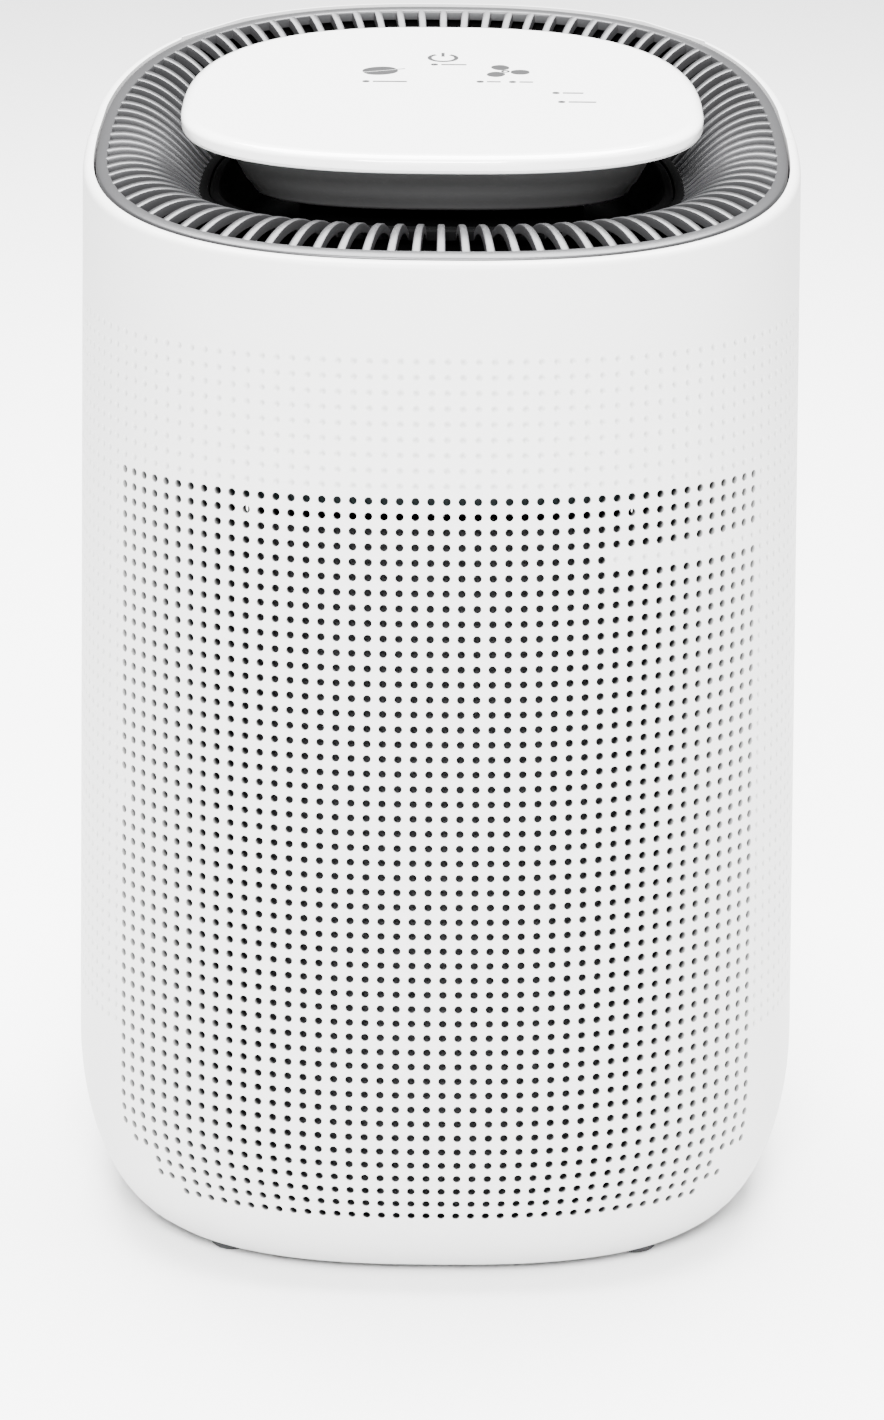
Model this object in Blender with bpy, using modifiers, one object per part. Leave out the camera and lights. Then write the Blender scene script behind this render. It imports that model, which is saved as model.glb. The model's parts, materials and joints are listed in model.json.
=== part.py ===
# Compact thermoelectric dehumidifier and air purifier, built as separate pieces.
# Metres, +Z up. The front faces -Y and the filter door and water tank face +Y.

import math

import bmesh
import bpy
import numpy as np
from mathutils import Matrix, Vector

# ---------------------------------------------------------------- casing
HALF_WIDTH = 0.109            # of the section at floor level
FRONT_DEPTH = 0.096           # from the widest line to the front, at floor level
REAR_DEPTH = 0.137            # from the widest line to the back, at floor level
SQUARENESS = 2.58             # exponent of the superellipse section
TOP_SCALE = 0.95              # section at the rim, as a share of the one at floor level
RIM_HEIGHT = 0.3085           # at the front of the rim
RIM_SLOPE = 0.138             # rise of the rim towards the back
CURVE_HEIGHT = 0.055          # height of the rounded foot of the casing
CURVE_INSET = 0.026           # how far that foot pulls in at the floor
WALL = 0.003
SHELL_FLOOR = 0.0025          # underside of the shells above the floor
FLANGE_INSET = 0.034          # inner edge of the shells' bottom flange
SEAM_BEHIND = 0.009           # seam of the shells behind the widest line
GAP = 0.0004                  # between neighbouring pieces
AROUND = 48                   # points around a shell section

CENTRE_Y = (FRONT_DEPTH - REAR_DEPTH) / 2      # the widest line, with the box centred
SEAM_Y = CENTRE_Y + SEAM_BEHIND
FAR = 0.30                                     # reach of a cutting box past the casing
REAR_START = 0.030                             # cutting boxes for the back start behind this plane
PAST = 0.010                                   # how far a drill runs past the wall that it cuts
LAP = 0.001                                    # how far joined pieces run into each other

# ---------------------------------------------------------------- grille and bowl
BAND_INSET = WALL + 0.0007
BAND_WIDTH = 0.0034
BAND_RISE = 0.6               # slope of the band, as a share of the ribs' first slope
RIB_COUNT = 96
RIB_SHARE = 0.37              # of the pitch that is rib
RIB_LENGTH = 0.026
RIB_CURVE = 25.3              # bulge of a rib, per metre
RIB_STEPS = 2
INNER_RING = 0.003
INNER_HEIGHT = RIM_HEIGHT + 0.0012     # level of the inner ring
GRILLE_THICK = 0.0028
BOWL_WALL = 0.003
BOWL_FLOOR = INNER_HEIGHT - 0.0207
BOWL_LEAN = 0.0046            # how far the bowl's side leans in
FAN_PLATE_LOW = BOWL_FLOOR - 0.051     # the fan and the space over it fit in between

# ---------------------------------------------------------------- control head
PANEL_HALF = HALF_WIDTH - 0.0337
PANEL_FRONT = FRONT_DEPTH - 0.043
PANEL_REAR = REAR_DEPTH - 0.048
PANEL_THICK = 0.0055
PANEL_SLOPE = 0.07
PANEL_HEIGHT = RIM_HEIGHT + 0.0249     # top of the panel over the widest line
PANEL_ROUND = 0.0016
PEDESTAL_TOP_INSET = 0.0107
PEDESTAL_FOOT_INSET = 0.0205
PEDESTAL_FOOT = INNER_HEIGHT - 0.0005
PEDESTAL_ROUND = (0.002, 0.003)        # of its lower edge: across, up
PEDESTAL_WALL = 0.0025
NECK_INSET = 0.034            # from the panel's outline
NECK_WALL = 0.003
BOARD_THICK = 0.0016
BOARD_INSET = 0.0185
PAD_RADIUS = 0.004
PAD_HEIGHT = 0.0045           # touch pads and light guides, between board and panel
LIGHT_RADIUS = 0.0014
CABLE_RADIUS = 0.0016
CABLE_HOLE = 0.0036
CABLE_DROP_Y = CENTRE_Y - 0.012      # where the cable leaves the control board
CABLE_FALL_Y = -0.066                # where it passes in front of the fan
CABLE_BEND = 0.015                   # how far below the bowl it has turned level

# places on the panel, from the widest line: across, towards the back
TOUCH_PLACES = {"power": (0.0, 0.050), "dry": (-0.0185, 0.033), "fan": (0.0185, 0.033)}
LIGHT_PLACES = [(-0.0225, 0.021), (-0.003, 0.040), (0.0125, 0.022), (0.022, 0.022), (0.033, 0.012),
                (0.0345, 0.001)]

# ---------------------------------------------------------------- base
PAN_THICK = 0.003
FOOT_RADIUS = 0.0065
FOOT_MARKS = {"front_right": 0.11, "rear_right": 0.39, "rear_left": 0.61, "front_left": 0.89}
FOOT_INSET = 0.0255           # of a foot's centre from the outline at floor level
SCREW_MARKS = {"front_right": 0.17, "rear_right": 0.33, "rear_left": 0.67, "front_left": 0.83}
SCREW_RADIUS = 0.0015
SCREW_HEAD_RADIUS = 0.0030
SCREW_HEAD_HEIGHT = 0.0018
SCREW_LENGTH = 0.0100
SCREW_PLAY = 0.0004
BOSS_RADIUS = 0.0042
BOSS_HEIGHT = 0.005

# ---------------------------------------------------------------- water tank
TANK_HALF = HALF_WIDTH - 0.035
TANK_FRONT = -0.020
TANK_LOW = 0.0175
TANK_TOP = 0.088
TANK_WALL = 0.0025
TANK_FACE_HALF = TANK_HALF + 0.0055
TANK_FACE_LOW = TANK_LOW - 0.0005
TANK_FACE_TOP = TANK_TOP + 0.010
TANK_PLAY = 0.0005            # of the tank's body behind its face, which overlap by this much
PANEL_GAP = 0.0006            # around the tank's face and the door
LID_THICK = 0.003
FILL_Y = 0.004
FILL_RADIUS = 0.012
PLUG_PLACE = (-0.045, 0.060)
PLUG_RADIUS = 0.0075
PLUG_HEAD_RADIUS = 0.011
PLUG_HEAD = 0.003
GRIP_HALF = 0.030
GRIP_TOP = TANK_TOP - 0.010
GRIP_LOW = GRIP_TOP - 0.018
GRIP_DEPTH = 0.016
RAIL_HALF_WIDTH = 0.003
RAIL_X = TANK_HALF - 0.011
RAIL_BACK = 0.070
POST_X = TANK_HALF + 0.006    # middle of the posts, clear of the tank's sides
POST_YS = (-0.045, 0.035)
POST_SIDE = 0.008

# ---------------------------------------------------------------- float
FLOAT_PIN_Y = -0.008
FLOAT_PIN_Z = TANK_TOP - 0.010
FLOAT_PIN_RADIUS = 0.0015
FLOAT_X = (0.049, 0.068)      # inner faces of its two lugs
LUG_THICK = 0.003
LUG_REACH = 0.0145            # from the tank's front wall
LUG_HALF = 0.006              # half height of a lug
ARM_HALF = 0.003              # half width of the bar between sleeve and float
ARM_RISE = 0.002              # half height of that bar
DROP_Y = (0.004, 0.010)       # the upright between bar and float, behind the float's front
FLOAT_SLEEVE = 0.0035
FLOAT_BOX = ((0.050, 0.013, FLOAT_PIN_Z - 0.026), (0.067, 0.042, FLOAT_PIN_Z - 0.010))
MAGNET_BACK = 0.008           # of the float's magnet, from the float's rear face
REED_HALF = (0.004, 0.008)
REED_THICK = 0.005
MAGNET_RADIUS = 0.003
MAGNET_HEIGHT = 0.003

# ---------------------------------------------------------------- inner frame
DECK_LOW = TANK_TOP + LID_THICK + 0.008
DECK_THICK = 0.003
DECK_HALF = HALF_WIDTH - 0.019
DECK_FRONT = -0.055
DECK_BACK = 0.045
DUCT_HALF = 0.069
DUCT_WALL = 0.003
DUCT_TOP = FAN_PLATE_LOW - 0.0015
SPOUT_RADIUS = 0.006
SPOUT_BORE = 0.004
SPOUT_PLAY = 0.002
SPOUT_END = TANK_TOP + 0.0045

# ---------------------------------------------------------------- thermoelectric stack
STACK_Y = 0.010               # middle of the modules
MODULE_SIDE = 0.040
MODULE_THICK = 0.0034
MODULE_X = 0.023
TRAY_HALF = 0.054
TRAY_FRONT = -0.032
TRAY_LOW = DECK_LOW + 0.005
TRAY_HEIGHT = 0.010
TRAY_WALL = 0.0015
SINK_PLATE = 0.004
HOT_LOW = DECK_LOW + 0.013
COLD_LOW = TRAY_LOW + TRAY_HEIGHT + 0.006
HOT_SINK = {"half": 0.055, "low": HOT_LOW, "top": HOT_LOW + 0.093, "fin": 0.036, "count": 14, "thick": 0.0014}
COLD_SINK = {"half": 0.050, "low": COLD_LOW, "top": COLD_LOW + 0.080, "fin": 0.026, "count": 12, "thick": 0.0014}
MODULE_Z = COLD_LOW + 0.035
SINK_SCREW_ZS = {"lower": COLD_LOW + 0.008, "upper": COLD_LOW + 0.066}
SINK_SCREW_HEAD = 0.0024

# ---------------------------------------------------------------- fan
FAN_Y = 0.002
FAN_SIDE = 0.120
FAN_HEIGHT = 0.025
FAN_PLATE_THICK = 0.003
FAN_BORE = FAN_SIDE / 2 - 0.002
ROTOR_RADIUS = FAN_BORE - 0.0015
HUB_RADIUS = 0.020
HUB_WALL = 0.002
HUB_HEIGHT = 0.018
BLADE_COUNT = 7
BLADE_THICK = 0.0016
BLADE_CHORD = 0.030
BLADE_PITCH = math.radians(32)
SHAFT_RADIUS = 0.0015
BEARING_RADIUS = 0.004
BEARING_HEIGHT = 0.011
RUNNING_GAP = 0.00035
STATOR_RADIUS = 0.015
STATOR_HEIGHT = 0.008
MOTOR_DISC_RADIUS = 0.021
MOTOR_DISC_THICK = 0.002
SPOKE_WIDTH = 0.004

# ---------------------------------------------------------------- filter door
DOOR_HALF = 0.0615
DOOR_LOW = TANK_FACE_TOP + 0.0105
DOOR_TOP = FAN_PLATE_LOW - 0.0075
HINGE_X = 0.0015 - DOOR_HALF
PIN_RADIUS = 0.0012
PIN_PLAY = 0.0003
KNUCKLE_RADIUS = 0.0032
KNUCKLE_LENGTH = 0.006
KNUCKLE_GAP = 0.0006
LIP_X = (DOOR_HALF - 0.0095, DOOR_HALF - 0.0040)
LIP_Z = (0.160, 0.180)
LIP_OUT = 0.0054              # of the pull lip, past the skin at its outer end
CLIP_ZS = (0.140, 0.205)      # side clips that hold the filter to the door
CLIP_HEIGHT = 0.010
CLIP_DEEP = 0.016             # how far they reach in from the door
CATCH_Z = (0.1800, 0.1920)    # the magnets that hold the door shut
CATCH_WIDE = 0.0030
CATCH_DEEP = 0.0048
CATCH_SETBACK = 0.0027        # from the inside of the wall, for their posts
CATCH_XS = {"door": DOOR_HALF - 0.0043, "shell": DOOR_HALF + 0.0017}
FILTER_HALF = DOOR_HALF - 0.0055
FILTER_LOW = DOOR_LOW + 0.0045
FILTER_TOP = DOOR_TOP - 0.0035
FILTER_CLEAR = 0.006          # from the inside of the door
FILTER_DEEP = 0.024
FILTER_BEHIND = 0.003         # from the duct to the filter
FILTER_WALL = 0.003
PLEAT_COUNT = 18
PLEAT_DEPTH = 0.016
PLEAT_THICK = 0.0008
CARBON_THICK = 0.002

# ---------------------------------------------------------------- electrics
POWER_BOARD = ((-0.045, -0.0700, 0.020), (0.045, -0.0684, 0.090))
BOARD_POST_X = 0.036
BOARD_POST_SIDE = 0.006
SOCKET_BESIDE = 0.0175        # from the edge of the tank's face to the middle of the power socket
SOCKET_Z = 0.048
SOCKET_SIDE = 0.013
SOCKET_DEPTH = 0.016
SOCKET_RECESS = 0.0035
SOCKET_BORE = 0.0032
SOCKET_PIN = 0.001
SOCKET_BORE_DEPTH = 0.010
BOARD_LAP = 0.0005            # how deep its components stand in the board
CAPACITOR = {"radius": 0.008, "long": 0.018, "x": -0.026, "z": 0.040}
COIL = {"radius": 0.010, "long": 0.010, "x": 0.024, "z": 0.038}
REGULATOR = ((-0.008, 0.055), (0.010, 0.080), 0.012)      # corners across and up, and its depth
PLUG_BLOCK = ((0.024, 0.068), (0.040, 0.078), 0.008)
SCREEN_BEHIND = 0.0010        # of the dust screen, from the inside of the wall
SCREEN_THICK = 0.0008

FINISHES = {                  # colour, roughness, metallic
    "white_plastic": ((0.80, 0.80, 0.79), 0.38, 0.0),
    "gloss_white": ((0.88, 0.88, 0.87), 0.12, 0.0),
    "gunmetal": ((0.17, 0.17, 0.175), 0.34, 0.55),
    "black_plastic": ((0.015, 0.015, 0.016), 0.55, 0.0),
    "grey_plastic": ((0.30, 0.30, 0.31), 0.50, 0.0),
    "clear_tank": ((0.55, 0.62, 0.66), 0.15, 0.0),
    "rubber": ((0.03, 0.03, 0.03), 0.85, 0.0),
    "aluminium": ((0.62, 0.63, 0.64), 0.32, 1.0),
    "steel": ((0.50, 0.50, 0.51), 0.28, 1.0),
    "brass": ((0.62, 0.48, 0.22), 0.35, 1.0),
    "ceramic": ((0.86, 0.85, 0.82), 0.60, 0.0),
    "foam": ((0.10, 0.10, 0.105), 0.95, 0.0),
    "paper": ((0.84, 0.84, 0.80), 0.90, 0.0),
    "carbon": ((0.03, 0.03, 0.032), 0.95, 0.0),
    "board_green": ((0.05, 0.20, 0.09), 0.45, 0.0),
    "light_guide": ((0.75, 0.78, 0.80), 0.10, 0.0),
    "copper": ((0.55, 0.26, 0.13), 0.38, 1.0),
}

SCREW_FACETS = 16
SAME_POINT = 0.0000002


# ---------------------------------------------------------------- scene and modelling helpers
def clear_scene():
    for obj in list(bpy.data.objects):
        bpy.data.objects.remove(obj, do_unlink=True)
    for name in ("dehumidifier", "cutters"):
        bpy.context.scene.collection.children.link(bpy.data.collections.new(name))
    bpy.data.collections["cutters"].hide_render = True


def place(obj, finish=None):
    """Puts an object in the parts' collection with its own material, or in the cutters'."""
    bpy.data.collections["dehumidifier" if finish else "cutters"].objects.link(obj)
    if not finish:
        obj.hide_render = True
        obj.display_type = "WIRE"
        return obj
    colour, roughness, metallic = FINISHES[finish]
    material = bpy.data.materials.new(f"{obj.name}_{finish}")
    material.use_nodes = True
    shader = material.node_tree.nodes["Principled BSDF"]
    shader.inputs["Base Color"].default_value = (*colour, 1)
    shader.inputs["Roughness"].default_value = roughness
    shader.inputs["Metallic"].default_value = metallic
    obj.data.materials.append(material)
    return obj


def from_bmesh(name, bm, finish=None):
    mesh = bpy.data.meshes.new(name)
    bm.to_mesh(mesh)
    bm.free()
    return place(bpy.data.objects.new(name, mesh), finish)


def box(name, low, high, finish=None):
    low, high = Vector(low), Vector(high)
    bm = bmesh.new()
    bmesh.ops.create_cube(bm, size=1, matrix=Matrix.Diagonal((*(high - low), 1)))
    obj = from_bmesh(name, bm, finish)
    obj.location = (low + high) / 2
    return obj


def rod(name, radius, low, high, finish=None, facets=24, axis="Z"):
    """A cylinder between two points that differ along one axis."""
    low, high = Vector(low), Vector(high)
    bm = bmesh.new()
    bmesh.ops.create_cone(bm, cap_ends=True, segments=facets, radius1=radius, radius2=radius,
                          depth=(high - low).length)
    obj = from_bmesh(name, bm, finish)
    obj.location = (low + high) / 2
    obj.rotation_euler = {"X": (0, math.pi / 2, 0), "Y": (math.pi / 2, 0, 0), "Z": (0, 0, 0)}[axis]
    return obj


def turned(name, profile, finish=None, facets=32):
    """A solid of revolution about Z: the profile runs from top to bottom on its outer side."""
    bm = bmesh.new()
    points = [bm.verts.new((radius, 0, height)) for radius, height in profile]
    for start, end in zip(points, points[1:]):
        bm.edges.new((start, end))
    if profile[0][0] > 0:
        bm.edges.new((points[-1], points[0]))
    obj = from_bmesh(name, bm, finish)
    screw = obj.modifiers.new("turn", "SCREW")
    screw.steps = screw.render_steps = facets
    screw.use_merge_vertices = True
    screw.merge_threshold = 0.00001
    return obj


def flat_outline(name, points, thickness, finish):
    """A closed outline in XY, extruded both ways along its own Z."""
    curve = bpy.data.curves.new(name, "CURVE")
    curve.dimensions = "2D"
    curve.fill_mode = "BOTH"
    curve.extrude = thickness / 2
    spline = curve.splines.new("POLY")
    spline.points.add(len(points) - 1)
    for point, (x, y) in zip(spline.points, points):
        point.co = (x, y, 0, 1)
    spline.use_cyclic_u = True
    return place(bpy.data.objects.new(name, curve), finish)


def join(obj, other, how):
    modifier = obj.modifiers.new(how.lower(), "BOOLEAN")
    modifier.operation = how
    modifier.solver = "EXACT"
    modifier.object = other
    return obj


def cut(obj, *cutters):
    for cutter in cutters:
        join(obj, cutter, "DIFFERENCE")
    return obj


def add(obj, *others):
    for other in others:
        join(obj, other, "UNION")
    return obj


def keep(obj, other):
    return join(obj, other, "INTERSECT")


def wrapped_grid(rings, hollow=False, is_open=None):
    """A grid whose columns go once round and whose rows are the rings, each point of it placed on them.

    Faces for whose column and row is_open holds are left out."""
    around, rows = len(rings[0]), len(rings) - 1 + hollow
    bm = bmesh.new()
    bmesh.ops.create_grid(bm, x_segments=around, y_segments=rows, size=0.5)
    if is_open:
        left_out = []
        for face in bm.faces:
            middle = face.calc_center_median()
            if is_open(int((middle.x + 0.5) * around), int((middle.y + 0.5) * rows)):
                left_out.append(face)
        bmesh.ops.delete(bm, geom=left_out, context="FACES")
    for vertex in bm.verts:
        column = round((vertex.co.x + 0.5) * around) % around
        row = round((vertex.co.y + 0.5) * rows) % len(rings)
        vertex.co = rings[row][column]
    bmesh.ops.remove_doubles(bm, verts=bm.verts, dist=SAME_POINT)
    return bm


def loft(name, rings, finish=None, hollow=False):
    """A solid through rings of points. A hollow one closes from its last ring to its first."""
    bm = wrapped_grid(rings, hollow)
    if not hollow:
        bmesh.ops.holes_fill(bm, edges=bm.edges, sides=0)
    bmesh.ops.recalc_face_normals(bm, faces=bm.faces)
    return from_bmesh(name, bm, finish)


# ---------------------------------------------------------------- the casing's section
def unit_points(marks):
    """Points of the section at shares of its length from the front, as fractions of its half sizes."""
    turn = np.linspace(0, 2 * np.pi, 2881)
    across = np.sign(np.sin(turn)) * np.abs(np.sin(turn)) ** (2 / SQUARENESS)
    along = -np.sign(np.cos(turn)) * np.abs(np.cos(turn)) ** (2 / SQUARENESS)
    depth = np.where(along < 0, FRONT_DEPTH, REAR_DEPTH)
    steps = np.hypot(np.diff(across * HALF_WIDTH), np.diff(along * depth))
    length = np.concatenate([[0], np.cumsum(steps)])
    length /= length[-1]
    return [(np.interp(mark % 1, length, across), np.interp(mark % 1, length, along)) for mark in marks]


ROUND = unit_points(np.arange(AROUND) / AROUND)


def scale_at(height):
    return 1 - (1 - TOP_SCALE) * height / RIM_HEIGHT


def foot_inset(height):
    """How far the rounded foot pulls the skin in: a quarter of an ellipse."""
    rise = max(0.0, 1 - height / CURVE_HEIGHT)
    return CURVE_INSET * (1 - math.sqrt(1 - rise * rise))


def section_point(unit, height, inset):
    scale = scale_at(height)
    depth = (FRONT_DEPTH if unit[1] < 0 else REAR_DEPTH) * scale - inset
    return Vector((unit[0] * (HALF_WIDTH * scale - inset), CENTRE_Y + unit[1] * depth, height))


def level_ring(height, inset, units=None):
    total = inset + foot_inset(height)
    return [section_point(unit, height, total) for unit in units or ROUND]


def rim_height(y):
    return RIM_HEIGHT + RIM_SLOPE * (y - CENTRE_Y + FRONT_DEPTH * TOP_SCALE)


def rim_ring(drop, inset, units=None):
    """A ring parallel to the sloping rim."""
    ring = []
    for unit in units or ROUND:
        near = section_point(unit, RIM_HEIGHT, inset)
        ring.append(section_point(unit, rim_height(near.y) - drop, inset))
    return ring


def skin_solid(name, inset, low=SHELL_FLOOR):
    """The casing's outer form moved in by an inset, as a solid cutter."""
    heights = [low, 0.0080, 0.0130, 0.0200, 0.0300, 0.0420, CURVE_HEIGHT, BOWL_FLOOR + LAP]
    return loft(name, [level_ring(height, inset) for height in heights])


def back_at(x, height, inset):
    """Y of the back of the section at an X."""
    half, depth = HALF_WIDTH * scale_at(height) - inset, REAR_DEPTH * scale_at(height) - inset
    return CENTRE_Y + depth * (1 - (abs(x) / half) ** SQUARENESS) ** (1 / SQUARENESS)


def filter_front():
    return back_at(FILTER_HALF, FILTER_TOP, WALL) - FILTER_CLEAR - FILTER_DEEP


def outline_frame(mark, height, inset):
    """A point of the skin and the angle of its outward normal about Z."""
    before, here, after = (section_point(unit, height, inset + foot_inset(height))
                           for unit in unit_points([mark - 0.004, mark, mark + 0.004]))
    along = after - before
    return here, math.atan2(-along.x, along.y)


# ---------------------------------------------------------------- casing pieces
def build_shells():
    outer = [0.0045, 0.0080, 0.0130, 0.0200, 0.0300, 0.0420, CURVE_HEIGHT, 0.170, BOWL_FLOOR + LAP]
    inner = [height for height in outer if height > SHELL_FLOOR + WALL]
    flange = FLANGE_INSET - foot_inset(SHELL_FLOOR)
    inner_flange = FLANGE_INSET - foot_inset(SHELL_FLOOR + WALL)
    rings = [level_ring(SHELL_FLOOR, flange), level_ring(SHELL_FLOOR, 0)]
    rings += [level_ring(height, 0) for height in outer]
    rings += [rim_ring(0.0022, 0), rim_ring(0.0008, 0.0007), rim_ring(0, 0.0022), rim_ring(0, WALL)]
    rings += [level_ring(height, WALL) for height in reversed(inner)]
    rings += [level_ring(SHELL_FLOOR + WALL, WALL), level_ring(SHELL_FLOOR + WALL, inner_flange)]
    shells = {}
    for name, side in (("front_shell", -1), ("rear_shell", 1)):
        shell = loft(name, rings, "white_plastic", hollow=True)
        ends = sorted((SEAM_Y + side * GAP / 2, side * FAR))
        keep(shell, box(f"{name}_half", (-FAR, ends[0], -FAR), (FAR, ends[1], 2 * FAR)))
        shells[name] = shell
    return shells


def build_grille():
    """A dished band of ribs: its outer edge follows the sloping rim and its inner ring is level."""
    half_rib = RIB_SHARE / 2
    marks = [(i + side * half_rib) / RIB_COUNT for i in range(RIB_COUNT) for side in (-1, 1)]
    units = unit_points(marks)
    band_inner = BAND_INSET + BAND_WIDTH
    columns = []
    for unit in units:
        edge = section_point(unit, RIM_HEIGHT, BAND_INSET)
        top = rim_height(edge.y)
        start = (INNER_HEIGHT - top) / RIB_LENGTH + RIB_CURVE * RIB_LENGTH
        top_inner = top + BAND_RISE * start * BAND_WIDTH
        column = [(BAND_INSET, top)]
        for step in range(RIB_STEPS + 1):
            inward = RIB_LENGTH * step / RIB_STEPS
            bulge = RIB_CURVE * inward * (RIB_LENGTH - inward)
            height = top_inner + (INNER_HEIGHT - top_inner) * step / RIB_STEPS + bulge
            column.append((band_inner + inward, height))
        column.append((band_inner + RIB_LENGTH + INNER_RING, INNER_HEIGHT))
        # The outer edge follows the sloping section and the inner ring the level one.
        full = column[-1][0] - BAND_INSET
        columns.append([Vector((*section_point(unit, top + (RIM_HEIGHT - top) * (inset - BAND_INSET) / full,
                                               inset).xy, height)) for inset, height in column])
    # Ribs are the even columns. The first row is the band and the last is the inner ring.
    bm = wrapped_grid(list(zip(*columns)), is_open=lambda column, row: column % 2 and 1 <= row <= RIB_STEPS)
    lower = bmesh.ops.extrude_face_region(bm, geom=bm.faces[:])["geom"]
    corners = [item for item in lower if isinstance(item, bmesh.types.BMVert)]
    bmesh.ops.translate(bm, verts=corners, vec=(0, 0, -GRILLE_THICK))
    bmesh.ops.recalc_face_normals(bm, faces=bm.faces)
    return from_bmesh("top_grille", bm, "gunmetal")


def build_bowl():
    """The dark dish inside the ribs, which carries the control head."""
    edge = BAND_INSET + BAND_WIDTH + RIB_LENGTH + INNER_RING + GAP
    rings = [[Vector((*point.xy, height)) for point in level_ring(RIM_HEIGHT, inset)]
             for height, inset in ((BOWL_FLOOR, edge + BOWL_LEAN), (INNER_HEIGHT, edge),
                                   (INNER_HEIGHT, edge + BOWL_WALL),
                                   (BOWL_FLOOR + BOWL_WALL, edge + BOWL_WALL + BOWL_LEAN))]
    bowl = loft("outlet_bowl", rings, "black_plastic")
    return cut(bowl, cable_drill("bowl_cable_hole"))


# ---------------------------------------------------------------- control head
def panel_top(y):
    return PANEL_HEIGHT + PANEL_SLOPE * (y - CENTRE_Y)


def head_ring(inset, drop=None, height=None):
    """A ring of the control head: parallel to the panel at a drop below its top, or level."""
    ring = []
    for unit in ROUND:
        depth = (PANEL_FRONT if unit[1] < 0 else PANEL_REAR) - inset
        x, y = unit[0] * (PANEL_HALF - inset), CENTRE_Y + unit[1] * depth
        ring.append(Vector((x, y, panel_top(y) - drop if height is None else height)))
    return ring


def cable_drill(name):
    low, high = BOWL_FLOOR - PAST, PEDESTAL_FOOT + PAST
    return rod(name, CABLE_HOLE, (0, CABLE_DROP_Y, low), (0, CABLE_DROP_Y, high))


def build_panel():
    r = PANEL_ROUND
    rings = [head_ring(r, drop=PANEL_THICK), head_ring(0, drop=PANEL_THICK - r), head_ring(0, drop=1.3 * r),
             head_ring(0.6 * r, drop=0.4 * r), head_ring(2.2 * r, drop=0)]
    return loft("control_panel", rings, "gloss_white")


def build_pedestal():
    top = PANEL_THICK + GAP
    floor = PEDESTAL_FOOT + PEDESTAL_WALL
    span = panel_top(CENTRE_Y) - top - PEDESTAL_FOOT
    back, rise = PEDESTAL_ROUND
    lean = (PEDESTAL_FOOT_INSET - PEDESTAL_TOP_INSET) * rise / span
    rings = [head_ring(PEDESTAL_FOOT_INSET + back, height=PEDESTAL_FOOT),
             head_ring(PEDESTAL_FOOT_INSET - lean, height=PEDESTAL_FOOT + rise),
             head_ring(PEDESTAL_TOP_INSET, drop=top),
             head_ring(PEDESTAL_TOP_INSET + PEDESTAL_WALL, drop=top),
             head_ring(PEDESTAL_FOOT_INSET + PEDESTAL_WALL, height=floor)]
    pedestal = loft("control_pedestal", rings, "gunmetal")
    return cut(pedestal, cable_drill("pedestal_cable_hole"))


def build_neck():
    low, high = BOWL_FLOOR + BOWL_WALL + GAP, PEDESTAL_FOOT - GAP
    rings = [head_ring(NECK_INSET, height=low), head_ring(NECK_INSET, height=high),
             head_ring(NECK_INSET + NECK_WALL, height=high), head_ring(NECK_INSET + NECK_WALL, height=low)]
    return loft("pedestal_neck", rings, "black_plastic", hollow=True)


def build_controls():
    """The board under the panel, with the touch pads and light guides that meet the panel from below."""
    board_drop = PANEL_THICK + 2 * GAP + PAD_HEIGHT
    rings = [head_ring(BOARD_INSET, drop=board_drop + BOARD_THICK), head_ring(BOARD_INSET, drop=board_drop)]
    loft("control_board", rings, "board_green")
    tilt = math.atan(PANEL_SLOPE)
    pieces = []
    for key, spot in TOUCH_PLACES.items():
        pieces.append((f"touch_pad_{key}", PAD_RADIUS, spot, "copper"))
    for number, spot in enumerate(LIGHT_PLACES, 1):
        pieces.append((f"light_guide_{number}", LIGHT_RADIUS, spot, "light_guide"))
    for name, radius, (x, back), finish in pieces:
        y = CENTRE_Y + back
        middle = panel_top(y) - PANEL_THICK - GAP - PAD_HEIGHT / 2
        piece = rod(name, radius, (0, 0, 0), (0, 0, PAD_HEIGHT - GAP), finish, SCREW_FACETS)
        piece.location = (x, y, middle)
        piece.rotation_euler = (tilt, 0, 0)


def build_cable():
    """The lead from the control board to the power board, down in front of the fan."""
    start = panel_top(CABLE_DROP_Y) - PANEL_THICK - 3 * GAP - PAD_HEIGHT - BOARD_THICK
    y, fall = CABLE_DROP_Y, CABLE_FALL_Y
    board_y = (POWER_BOARD[0][1] + POWER_BOARD[1][1]) / 2
    bend = BOWL_FLOOR - CABLE_BEND
    route = [(y, start), (y, BOWL_FLOOR + 0.003), (y, bend + 0.009), (y - 0.020, bend + 0.004),
             (fall + 0.006, bend), (fall, bend - 0.011), (fall, 0.200), (fall, 0.130), (board_y, 0.110),
             (board_y, POWER_BOARD[1][2] + GAP)]
    curve = bpy.data.curves.new("control_cable", "CURVE")
    curve.dimensions = "3D"
    curve.bevel_depth = CABLE_RADIUS
    curve.bevel_resolution = 1
    curve.resolution_u = 2
    curve.use_fill_caps = True
    spline = curve.splines.new("NURBS")
    spline.points.add(len(route) - 1)
    for point, (along, height) in zip(spline.points, route):
        point.co = (0, along, height, 1)
    spline.order_u = 3
    spline.use_endpoint_u = True
    return place(bpy.data.objects.new("control_cable", curve), "black_plastic")


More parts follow.
